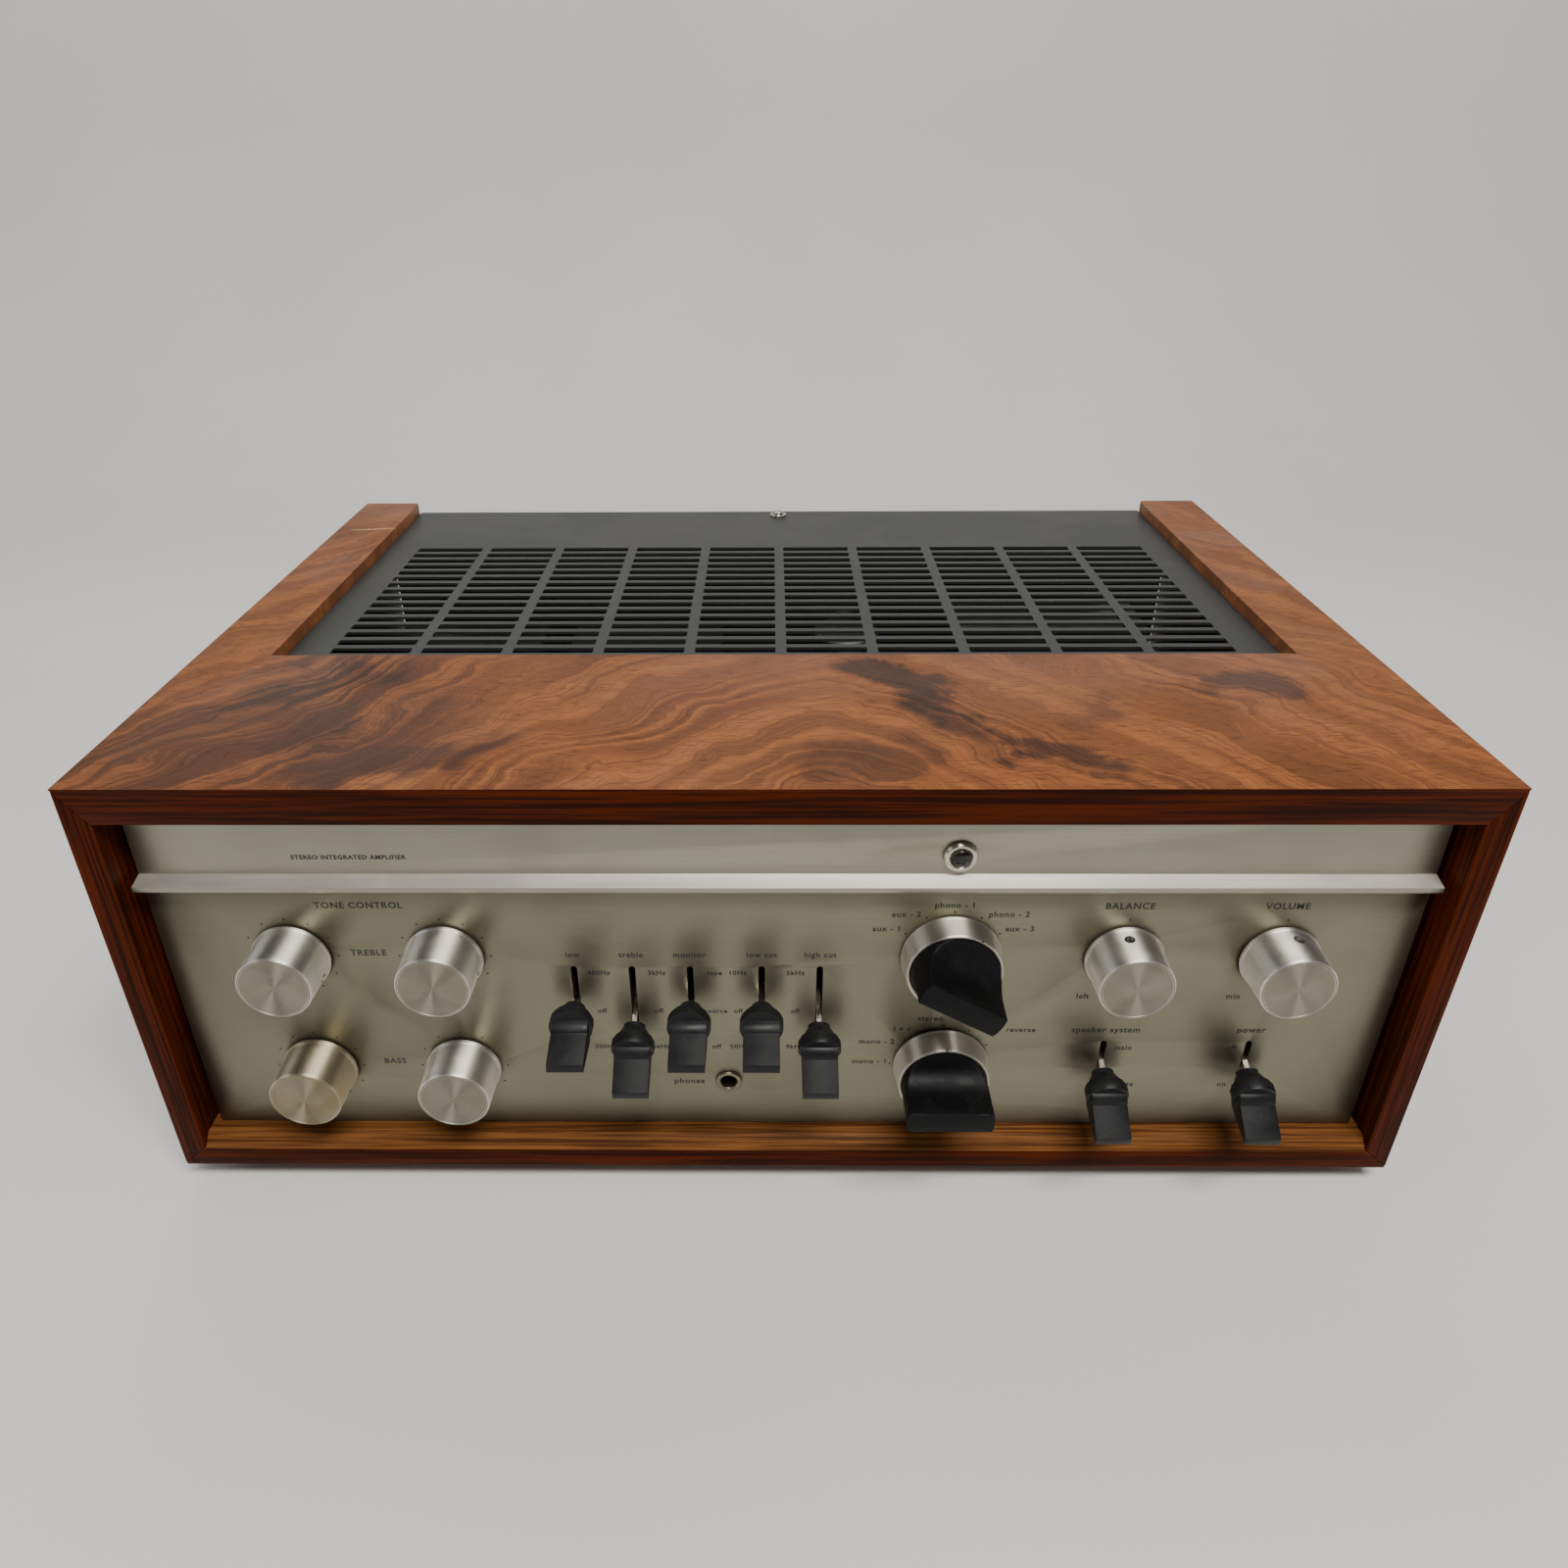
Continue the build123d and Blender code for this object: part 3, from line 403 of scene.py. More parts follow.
def painted(name, color, low=0.42, high=0.58):
    """Sprayed paint on sheet metal: orange-peel bump, dust and slow changes of sheen."""
    smudge, speck = (0.25, lifted(color, 1.35, 0.006)), (0.12, (0.35, 0.33, 0.30))
    return coated(name, color, (55.0, 0.9), smudge, speck, low, high, (1.4, 3.0, 0.6, 0.00003, 0.4))


def plated(name, color, low=0.20, high=0.36):
    """Plated steel: slow changes of sheen and small spots."""
    dull = toned(color, (0.80, 0.74, 0.62))
    spots = (2.0, 2.0, 0.5, 0.00001, 0.3)
    return coated(name, color, (12.0, 0.8), (0.4, dull), (0.3, dull), low, high, spots, Metallic=1.0)


def clear_glass(name, color, rough=0.04):
    """Glass with slight waviness."""
    made, tree, shader = new_material(name, color, Transmission_Weight=1.0, IOR=1.46, Roughness=rough)
    ripple = noise(tree, place_in_mm(tree), 0.25, 1.0)
    tone = blend_colors(tree, stretch(tree, ripple, 0.3, 0.7), color, toned(color, (0.92, 0.92, 0.92)))
    feed(tree, shader, Base_Color=tone, Normal=bump(tree, ripple, 0.00004, 0.3))
    return made


def ink(name, color):
    """Screen-printed ink with slightly uneven cover."""
    made, tree, shader = new_material(name, color)
    cover = noise(tree, place_in_mm(tree), 2.5, 3.0)
    tone = blend_colors(tree, stretch(tree, cover, 0.5, 0.75, 0.0, 0.6), color, lifted(color, 1.6, 0.03))
    feed(tree, shader, Base_Color=tone, Roughness=stretch(tree, cover, 0.3, 0.7, 0.45, 0.62))
    return made


UPRIGHT_GRAIN = (0.0, math.radians(90.0), 0.0)
# Dark patches of the top board: centre, reach, angle, depth
DARK_PATCHES = (
    ((-190.0, -108.0), (100.0, 70.0), 20.0, 0.72),
    ((-184.0, -84.0), (58.0, 28.0), 8.0, 0.95),
    ((-168.0, -112.0), (46.0, 24.0), 50.0, 0.85),
    ((-132.0, -133.0), (56.0, 22.0), 18.0, 0.8),
    ((-208.0, -136.0), (40.0, 18.0), 0.0, 0.55),
    ((44.0, -72.0), (32.0, 18.0), -35.0, 0.9),
    ((55.0, -102.0), (48.0, 15.0), -62.0, 0.95),
    ((86.0, -130.0), (42.0, 13.0), -35.0, 0.85),
    ((32.0, -132.0), (40.0, 17.0), 15.0, 0.6),
    ((116.0, -100.0), (26.0, 14.0), 60.0, 0.5),
    ((176.0, -76.0), (30.0, 14.0), -20.0, 0.75),
)
WOOD_TOP = veneer("veneer top", patches=DARK_PATCHES, peak=12.0, scratch=((-221.0, 116.0), (22.0, 1.6), 8.0))
WOOD_LEFT = veneer("veneer left side", UPRIGHT_GRAIN, (40.0, 0.0, 300.0), peak=-60.0)
WOOD_RIGHT = veneer("veneer right side", UPRIGHT_GRAIN, (-70.0, 120.0, -260.0), peak=40.0)
WOOD_RAIL = lipping("rail wood", light=(0.195, 0.076, 0.021), dark=(0.066, 0.023, 0.007))
EDGE_ACROSS = lipping("edge wood across")
EDGE_UPRIGHT = lipping("edge wood upright", UPRIGHT_GRAIN)
WOOD_INSIDE = lipping("inside wood", light=(0.10, 0.05, 0.024), dark=(0.04, 0.02, 0.01))

PANEL_METAL = brushed(
    "brushed panel", (0.272, 0.257, 0.186), 0.36, 0.42, Anisotropic=0.7, Anisotropic_Rotation=0.25,
)
HEADER_METAL = brushed(
    "brushed header", (0.40, 0.385, 0.31), 0.30, 0.36, Anisotropic=0.6, Anisotropic_Rotation=0.25,
)
# The header's up-facing ledge faces: the header's brushed metal made much lighter, a painted highlight for the
# light falling on the top.
LEDGE_PAINTED_LIGHT = brushed("brushed ledge, painted light", (0.90, 0.88, 0.80), 0.42, 0.50)
CAN_METAL = brushed("can metal", (0.16, 0.16, 0.165), along=0.2, across=2.0, turn=UPRIGHT_GRAIN)
# The two knob-face materials below are the same spun aluminium as the knob sides, made much darker: painted
# shade standing in for the dark floor that the front faces reflect.
KNOB_METAL = turned_metal("turned knob side", (0.86, 0.84, 0.77), 0.38, 0.50)
KNOB_FACE_PAINTED_SHADE = turned_metal("turned knob face, painted shade", (0.33, 0.305, 0.25), 0.33, 0.42)
WORN_KNOB = turned_metal("turned knob side, yellowed", (0.64, 0.57, 0.43), 0.38, 0.52, patina=0.7)
WORN_FACE_PAINTED_SHADE = turned_metal("yellowed knob face, painted shade", (0.35, 0.305, 0.22), 0.34, 0.44, patina=0.7)
SKIRT_METAL = turned_metal("turned skirt", (0.68, 0.65, 0.57), 0.34, 0.44)
BEZEL_METAL = turned_metal("turned bezel", (0.70, 0.66, 0.56), 0.22, 0.34)
BLACK_MOULDING = moulded("black moulding", (0.0030, 0.0032, 0.0036), 0.42, 0.54, Specular_IOR_Level=0.13)
LEVER_MOULDING = moulded("lever moulding", (0.0075, 0.008, 0.0085), 0.38, 0.50, Specular_IOR_Level=0.26)
SOFT_BLACK = moulded("soft black", (0.014, 0.014, 0.014), 0.55, 0.7, grain=0.5)
BROWN_MOULDING = moulded("brown moulding", (0.055, 0.022, 0.012), 0.28, 0.4)
CREAM_MOULDING = moulded("cream moulding", (0.62, 0.58, 0.48), 0.3, 0.42)
RED_MOULDING = moulded("red moulding", (0.42, 0.018, 0.014), 0.28, 0.4)
GRILLE_PAINT = painted("grille paint", (0.021, 0.023, 0.021), 0.42, 0.48)
REAR_PAINT = painted("rear paint", (0.028, 0.028, 0.027))
IRON_PAINT = painted("iron paint", (0.016, 0.016, 0.017), 0.28, 0.42)
DECK_PAINT = painted("deck paint", (0.022, 0.021, 0.020), 0.5, 0.65)
ANODE = painted("anode plate", (0.07, 0.07, 0.075), 0.5, 0.65)
ZINC = plated("zinc plate", (0.60, 0.60, 0.56))
PASSIVATED = plated("passivated steel", (0.34, 0.32, 0.26), 0.35, 0.5)
NICKEL = plated("nickel plate", (0.60, 0.57, 0.50), 0.14, 0.26)
DARK_NICKEL = plated("dull nickel", (0.26, 0.24, 0.18), 0.34, 0.46)
STALK_STEEL = plated("stalk steel", (0.62, 0.60, 0.56), 0.18, 0.3)
GETTER = plated("getter mirror", (0.50, 0.49, 0.47), 0.05, 0.15)
VALVE_GLASS = clear_glass("valve glass", (0.93, 0.95, 0.96))
LAMP_GLASS = clear_glass("lamp lens", (0.80, 0.74, 0.62), rough=0.12)
DARK_INK = ink("dark ink", (0.016, 0.015, 0.014))
WHITE_INK = ink("white ink", (0.70, 0.70, 0.66))


# ---------------------------------------------------------------- modelling tools

def deselect():
    bpy.ops.object.select_all(action="DESELECT")


def take(piece):
    """Make one object the only selected and active one."""
    deselect()
    piece.select_set(True)
    bpy.context.view_layer.objects.active = piece
    return piece


def edit(piece):
    take(piece)
    bpy.ops.object.mode_set(mode="EDIT")


def done():
    bpy.ops.object.mode_set(mode="OBJECT")


def pick(piece, test):
    """In edit mode, select the vertices whose place passes the test."""
    bpy.ops.mesh.select_mode(type="VERT")
    bpy.ops.mesh.select_all(action="DESELECT")
    done()
    for vertex in piece.data.vertices:
        vertex.select = bool(test(vertex.co))
    bpy.ops.object.mode_set(mode="EDIT")


def modify(piece, kind, **settings):
    """Add a modifier and apply it."""
    take(piece)
    modifier = piece.modifiers.new(kind.lower(), kind)
    for key, value in settings.items():
        setattr(modifier, key, value)
    bpy.ops.object.modifier_apply(modifier=modifier.name)


def soften(piece, width, segments=2, angle=35.0):
    """Round the sharp edges of a piece by a width in millimetres."""
    modify(
        piece, "BEVEL", width=width * MM, segments=segments, limit_method="ANGLE",
        angle_limit=math.radians(angle), harden_normals=False, miter_outer="MITER_ARC",
    )


def block(low, high):
    """A box between two corners given in metres, as a start for a piece."""
    deselect()
    low, high = Vector(low), Vector(high)
    bpy.ops.mesh.primitive_cube_add(size=1.0, location=(low + high) / 2)
    piece = bpy.context.object
    piece.scale = high - low
    bpy.ops.object.transform_apply(location=True, rotation=True, scale=True)
    return piece


def turned(profile, steps=64, width=0.0):
    """A piece turned about the Y axis from (radius, reach) points in mm, with reach towards -Y."""
    deselect()
    bpy.ops.mesh.primitive_plane_add(size=MM)
    piece = bpy.context.object
    bpy.ops.object.mode_set(mode="EDIT")
    bpy.ops.mesh.merge(type="CENTER")
    places = [Vector((radius * MM, -reach * MM, 0.0)) for radius, reach in profile]
    bpy.ops.transform.translate(value=places[0])
    for before, after in zip(places, places[1:]):
        bpy.ops.mesh.extrude_vertices_move(TRANSFORM_OT_translate={"value": after - before})
    bpy.ops.mesh.select_all(action="SELECT")
    bpy.ops.mesh.spin(steps=steps, angle=math.tau, center=(0.0, 0.0, 0.0), axis=(0.0, 1.0, 0.0))
    bpy.ops.mesh.select_all(action="SELECT")
    bpy.ops.mesh.remove_doubles(threshold=0.000002)
    bpy.ops.mesh.normals_make_consistent(inside=False)
    done()
    if width:
        soften(piece, width, 2, 30.0)
    return piece


def map_turning(piece):
    """A map for turned metal: across is the share of a full turn, up is the way along the profile in mm."""
    layer = piece.data.uv_layers.new(name="turning")
    for polygon in piece.data.polygons:
        middle = math.atan2(polygon.center.z, polygon.center.x)
        for corner in polygon.loop_indices:
            place = piece.data.vertices[piece.data.loops[corner].vertex_index].co
            radius = math.hypot(place.x, place.z)
            angle = math.atan2(place.z, place.x) if radius > 0.01 * MM else middle
            angle += math.tau * round((middle - angle) / math.tau)
            layer.data[corner].uv = (angle / math.tau, (-place.y - radius) / MM)


def rod(sides, radius, depth):
    """An upright cylinder or prism about the origin, in millimetres."""
    deselect()
    bpy.ops.mesh.primitive_cylinder_add(vertices=sides, radius=radius * MM, depth=depth * MM)
    return bpy.context.object


def cut(piece, tool):
    """Cut a tool's shape out of a piece and drop the tool."""
    modify(piece, "BOOLEAN", object=tool, operation="DIFFERENCE")
    bpy.data.objects.remove(tool)


def copy_of(piece):
    """The same shape as another object with its own mesh."""
    twin = piece.copy()
    twin.data = piece.data.copy()
    bpy.context.collection.objects.link(twin)
    return twin


def shift(piece, place, turn=None):
    """Put a piece that was modelled at the origin in its place, and keep the place in its mesh."""
    moved = Matrix.Translation(Vector(place))
    if turn is not None:
        moved = moved @ turn
    piece.data.transform(moved)
    return piece


def joined(pieces):
    """Several pieces made one."""
    deselect()
    for piece in pieces:
        piece.select_set(True)
    bpy.context.view_layer.objects.active = pieces[0]
    if len(pieces) > 1:
        bpy.ops.object.join()
    return bpy.context.object


def from_node(name, width, segments=2):
    """A CAD node's shape as a new piece: its corners merged, its flat faces made whole, its edges rounded."""
    piece = copy_of(frame["nodes"][name])
    piece.parent = None
    piece.matrix_world = Matrix.Identity(4)
    edit(piece)
    bpy.ops.mesh.select_all(action="SELECT")
    bpy.ops.mesh.remove_doubles(threshold=0.000003)
    bpy.ops.mesh.dissolve_limited(angle_limit=math.radians(1.0))
    done()
    soften(piece, width, segments)
    return piece


def finish(piece, name, body, material, replaces=(), smooth=35.0):
    """Name, shade and paint a finished piece and let it ride on its body."""
    take(piece)
    piece.name = name
    piece.data.name = name
    bpy.ops.object.shade_smooth_by_angle(angle=math.radians(smooth))
    materials = material if isinstance(material, tuple) else (material,)
    numbers = [polygon.material_index for polygon in piece.data.polygons]
    piece.data.materials.clear()
    for each in materials:
        piece.data.materials.append(each)
    for polygon, number in zip(piece.data.polygons, numbers):
        polygon.material_index = min(number, len(materials) - 1)
    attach(piece, body)
    if replaces:
        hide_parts(*replaces)
    return piece


def repaint(name, material):
    """Give a CAD node that keeps its shape a finished material."""
    for material_slot in frame["nodes"][name].material_slots:
        material_slot.material = material


def face_materials(piece, rule):
    """Set each face's material number by a rule on the face."""
    for polygon in piece.data.polygons:
        polygon.material_index = rule(polygon)


def face_middle(name):
    """The middle of a fitting's outline, brought on to the front panel's face."""
    low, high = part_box(name)
    return Vector(((low[0] + high[0]) / 2, PANEL_Y, (low[2] + high[2]) / 2))


# ---------------------------------------------------------------- cabinet

def make_cabinet():
    """The four boards: figured veneer outside, darker solid wood on the front edges."""
    def front_edge(polygon):
        if polygon.normal.y < -0.9 and polygon.center.y < FRONT_Y + 2 * MM:
            return 1
        return 2 if polygon.normal.z < -0.5 else 0

    top = from_node("cabinet_top", 0.9, 3)
    face_materials(top, front_edge)
    finish(top, "top_board", CABINET, (WOOD_TOP, EDGE_ACROSS, WOOD_INSIDE), ("cabinet_top",))

    for name, material, side in (("left_side", WOOD_LEFT, -1), ("right_side", WOOD_RIGHT, 1)):
        board = from_node("cabinet_" + name, 0.9, 3)

        def board_face(polygon, side=side):
            return 1 if polygon.normal.y < -0.9 or polygon.normal.x * side <= -0.2 else 0

        face_materials(board, board_face)
        finish(board, name + "_board", CABINET, (material, EDGE_UPRIGHT), ("cabinet_" + name,))

    rail = from_node("cabinet_front_rail", 0.5, 2)
    face_materials(rail, lambda polygon: 1 if polygon.normal.y < -0.9 else 0)
    finish(rail, "front_rail", CABINET, (WOOD_RAIL, EDGE_ACROSS), ("cabinet_front_rail",))


# ---------------------------------------------------------------- front panel and its printing

def make_panel():
    """The control panel and, over it, the header strip, whose up-facing ledge faces get a much lighter copy of
    its metal as painted light.
    """
    plate = from_node("front_panel", 0.25, 2)
    finish(plate, "panel_plate", CABINET, PANEL_METAL, ("front_panel",))
    strip = from_node("header_trim", 0.25, 2)
    # Up-facing faces take the lighter ledge copy, which is painted light.
    face_materials(strip, lambda polygon: 1 if polygon.normal.z > 0.6 else 0)
    finish(strip, "header_strip", CABINET, (HEADER_METAL, LEDGE_PAINTED_LIGHT), ("header_trim",))


PRINT_LIFT = 0.03
TINY = 2.9
SMALL = 3.3
LARGE = 3.75
KNOB_DOTS = 16.8
SELECTOR_DOTS = 19.7


def label(text, x, z, size=SMALL):
    """A printed word on the front panel; x is from the middle and z from the cabinet's underside, in mm."""
    deselect()
    bpy.ops.object.text_add()
    word = bpy.context.object
    word.data.body = text
    word.data.size = size * MM
    word.data.space_character = 1.12
    word.data.offset = 0.09 * MM
    word.data.align_x = word.data.align_y = "CENTER"
    word.data.resolution_u = 3
    take(word)
    bpy.ops.object.convert(target="MESH")
    word.data.transform(Matrix.Rotation(math.radians(90.0), 4, "X"))
    word.data.transform(Matrix.Translation((x * MM, PANEL_Y - PRINT_LIFT * MM, UNDERSIDE + z * MM)))
    return word


def dot(x, z, radius=0.42):
    """A printed dot on the front panel."""
    deselect()
    place = (x * MM, PANEL_Y - PRINT_LIFT * MM, UNDERSIDE + z * MM)
    bpy.ops.mesh.primitive_circle_add(vertices=14, radius=radius * MM, fill_type="NGON")
    mark = bpy.context.object
    mark.data.transform(Matrix.Translation(place) @ Matrix.Rotation(math.radians(90.0), 4, "X"))
    return mark


def dots_round(centre, radius, angles):
    """Printed dots round a shaft, at angles clockwise from straight up."""
    x, z = centre.x / MM, (centre.z - UNDERSIDE) / MM
    return [
        dot(x + radius * math.sin(math.radians(angle)), z + radius * math.cos(math.radians(angle)))
        for angle in angles
    ]


def make_printing():
    """Plain function words and setting dots, in dark ink on the panel's face."""
    marks = []
    for knob in KNOBS[:4]:
        marks += dots_round(PIVOT[knob + "_knob"], KNOB_DOTS, range(-150, 151, 30))
    for knob in KNOBS[4:]:
        marks += dots_round(PIVOT[knob + "_knob"], KNOB_DOTS, (0,))
    marks += dots_round(PIVOT["source_selector"], SELECTOR_DOTS, range(-60, 61, 30))
    marks += dots_round(PIVOT["mode_selector"], SELECTOR_DOTS, range(-90, 61, 30))
    tone_x = (PIVOT["treble_left_knob"].x + PIVOT["treble_right_knob"].x) / 2 / MM
    for text, x, z, size in (
        ("TONE CONTROL", tone_x, 122.7, LARGE),
        ("TREBLE", tone_x, 101.0, LARGE),
        ("BASS", tone_x + 1, 47.0, LARGE),
        ("BALANCE", 123.4, 122.5, LARGE),
        ("VOLUME", 179.2, 122.5, LARGE),
        ("left", 112.0, 80.6, SMALL),
        ("right", 137.0, 80.6, SMALL),
        ("min", 168.0, 80.6, SMALL),
        ("max", 193.0, 80.6, SMALL),
        ("speaker system", 123.2, 63.8, LARGE),
        ("main", 131.0, 54.6, SMALL),
        ("remote", 132.5, 35.4, SMALL),
        ("power", 178.3, 63.8, LARGE),
        ("off", 172.4, 54.6, SMALL),
        ("on", 172.4, 35.4, SMALL),
        ("phones", -36.6, 36.6, LARGE),
        ("aux - 1", 37.4, 112.3, SMALL),
        ("aux - 2", 44.1, 118.8, SMALL),
        ("phono - 1", 61.3, 122.9, SMALL),
        ("phono - 2", 80.8, 118.8, SMALL),
        ("aux - 3", 85.3, 112.3, SMALL),
        ("mono - 1", 33.8, 47.3, SMALL),
        ("mono - 2", 36.1, 57.6, SMALL),
        ("l + r", 45.6, 64.0, SMALL),
        ("stereo", 56.0, 69.4, SMALL),
        ("reverse", 90.8, 63.7, SMALL),
    ):
        marks.append(label(text, x, z, size))
    titles = ("low", "treble", "monitor", "low cut", "high cut")
    settings = (
        ("400Hz", "off", "200Hz"), ("3kHz", "off", "6kHz"), ("tape", "source", "off"),
        ("10Hz", "off", "50Hz"), ("5kHz", "off", "9kHz"),
    )
    for lever, title, words in zip(LEVERS, titles, settings):
        x = PIVOT[lever].x / MM
        side = -1 if lever in LEVERS[3:] else 1
        marks.append(label(title, x, 100.1, SMALL))
        for word, z in zip(words, (91.6, 73.0, 54.9)):
            marks.append(label(word, x + side * 9.0, z, TINY))
    marks.append(label("STEREO INTEGRATED AMPLIFIER", -152.0, 143.6, 2.5))
    printing = joined(marks)
    finish(printing, "panel_printing", CABINET, DARK_INK)


# ---------------------------------------------------------------- knobs

KNOB_PROFILE = (
    (0.0, 13.6), (2.9, 13.6), (2.9, 4.8), (7.6, 4.8), (7.6, 0.7), (13.9, 0.7), (14.35, 1.1), (14.35, 2.3),
    (14.05, 2.7), (13.82, 2.75), (13.82, 3.1), (13.5, 17.0), (13.42, 17.6), (12.85, 18.12), (12.3, 18.2),
    (12.2, 18.08), (8.0, 18.12), (4.0, 18.10), (0.6, 18.04), (0.0, 18.0),
)
GRUB_REACH = 7.0
GRUB_ANGLE = {
    "treble_left": -20.0, "treble_right": -15.0, "bass_left": -35.0,
    "bass_right": -28.0, "balance": 97.0, "volume": 83.0,
}


def outward(angle):
    """Turn that points +Z of a piece outwards from a shaft at an angle anticlockwise from the right."""
    return Matrix.Rotation(math.radians(90.0 - angle), 4, "Y")


def make_knobs():
    """Spun aluminium knobs on steel shafts, each held by a grub screw in its side."""
    blank = turned(KNOB_PROFILE, 96, 0.16)
    drill = rod(28, 1.9, 9.0)
    screw_blank = rod(28, 1.8, 5.0)
    cut(screw_blank, shift(rod(6, 0.8, 3.0), (0.0, 0.0, 2.5 * MM)))
    soften(screw_blank, 0.15, 1, 40.0)
    for knob in KNOBS:
        body, centre = knob + "_knob", PIVOT[knob + "_knob"]
        turn = outward(GRUB_ANGLE[knob])
        grub_place = Vector((0.0, -GRUB_REACH * MM, 0.0))
        piece = copy_of(blank)
        cut(piece, shift(copy_of(drill), grub_place, turn @ Matrix.Translation((0.0, 0.0, 13.0 * MM))))
        map_turning(piece)
        shift(piece, centre)
        face_materials(piece, lambda polygon: 1 if polygon.normal.y < -0.9 else 0)
        # The front faces take the darker face copy, which is painted shade.
        metals = (WORN_KNOB, WORN_FACE_PAINTED_SHADE) if knob == "bass_left" else (KNOB_METAL, KNOB_FACE_PAINTED_SHADE)
        finish(piece, "dial_" + knob, body, metals, ("knob_" + knob,), smooth=30.0)
        screw = copy_of(screw_blank)
        shift(screw, centre + grub_place, turn @ Matrix.Translation((0.0, 0.0, 9.4 * MM)))
        finish(screw, "grub_screw_" + knob, body, IRON_PAINT)
        repaint("shaft_" + knob, STALK_STEEL)
    for spare in (blank, drill, screw_blank):
        bpy.data.objects.remove(spare)


# ---------------------------------------------------------------- rotary selectors

SKIRT_PROFILE = (
    (16.22, 0.7), (18.1, 0.7), (18.45, 1.0), (18.45, 1.7), (18.2, 2.0), (17.45, 9.6), (17.3, 10.3),
    (17.0, 10.6), (16.5, 10.6), (16.22, 10.3), (16.22, 0.7),
)
HANDLE_RADIUS = 16.15
HANDLE_BASE = 0.9
HANDLE_SKIRT = 9.9
HANDLE_WAIST = 20.5
HANDLE_TOP = 29.4
BAR_HALF = 4.85
REST_TURN = {"source_selector": 30.0, "mode_selector": 0.0}


def handle_half(height):
    """Half the thickness of the handle at a height over the panel: full at the skirt, a bar at the top."""
    if height <= HANDLE_SKIRT:
        return HANDLE_RADIUS
    if height >= HANDLE_WAIST:
        return BAR_HALF - 0.35 * (height - HANDLE_WAIST) / (HANDLE_TOP - HANDLE_WAIST)
    share = (HANDLE_WAIST - height) / (HANDLE_WAIST - HANDLE_SKIRT)
    return BAR_HALF + (HANDLE_RADIUS - BAR_HALF) * (1.0 - math.sqrt(1.0 - min(share, 1.0) ** 2.0)) ** 0.9


def make_handle():
    """A round black knob whose two sides sweep in to a bar across its face, with its front towards -Y."""
    heights = [HANDLE_BASE, 5.0, HANDLE_SKIRT]
    heights += [HANDLE_SKIRT + (HANDLE_WAIST - HANDLE_SKIRT) * step / 14 for step in range(1, 15)]
    heights += [23.0, 26.0, HANDLE_TOP]
    outline = [(0.0, HANDLE_BASE)] + [(HANDLE_RADIUS, height) for height in heights] + [(0.0, HANDLE_TOP)]
    piece = turned(outline, 96)
    edit(piece)
    for height in heights:
        limit = handle_half(height) * MM
        for side in (-1, 1):
            pick(piece, lambda co: abs(co.y + height * MM) < 0.02 * MM and side * co.z > limit + 0.001 * MM)
            bpy.ops.transform.resize(value=(1.0, 1.0, 0.0), center_override=(0.0, -height * MM, side * limit))
    bpy.ops.mesh.select_all(action="SELECT")
    bpy.ops.mesh.remove_doubles(threshold=0.00002)
    bpy.ops.mesh.dissolve_degenerate(threshold=0.00001)
    bpy.ops.mesh.normals_make_consistent(inside=False)
    done()
    soften(piece, 0.45, 3, 38.0)
    return piece


def make_selectors():
    """Two rotary selectors: turned metal skirt with a dark mark, black bar handle, steel shaft."""
    handle = make_handle()
    skirt = turned(SKIRT_PROFILE, 96, 0.15)
    map_turning(skirt)
    pointer = block((-0.35 * MM, -10.75 * MM, 16.9 * MM), (0.35 * MM, -10.2 * MM, 17.3 * MM))
    for selector in SELECTORS:
        centre = PIVOT[selector]
        turn = Matrix.Rotation(math.radians(REST_TURN[selector]), 4, "Y")
        for blank, part, slot_name, material, node, smooth in (
            (handle, "grip_", "black_plastic", BLACK_MOULDING, "handle_", 28.0),
            (skirt, "ring_", "bright_trim", SKIRT_METAL, "skirt_", 30.0),
            (pointer, "pointer_", "black_plastic", DARK_INK, None, 35.0),
        ):
            piece = shift(copy_of(blank), centre, turn)
            replaced = (node + selector,) if node else ()
            finish(piece, part + selector, selector, material, replaced, smooth)
        repaint("shaft_" + selector, STALK_STEEL)
    for spare in (handle, skirt, pointer):
        bpy.data.objects.remove(spare)


# ---------------------------------------------------------------- levers

def make_levers():
    """Seven black lever caps on flat steel stalks."""
    for lever in LEVERS:
        cap = from_node("cap_" + lever, 0.35, 2)
        finish(cap, "tip_" + lever, lever, LEVER_MOULDING, ("cap_" + lever,), smooth=32.0)
        repaint("stalk_" + lever, STALK_STEEL)


# ---------------------------------------------------------------- lamp and jack

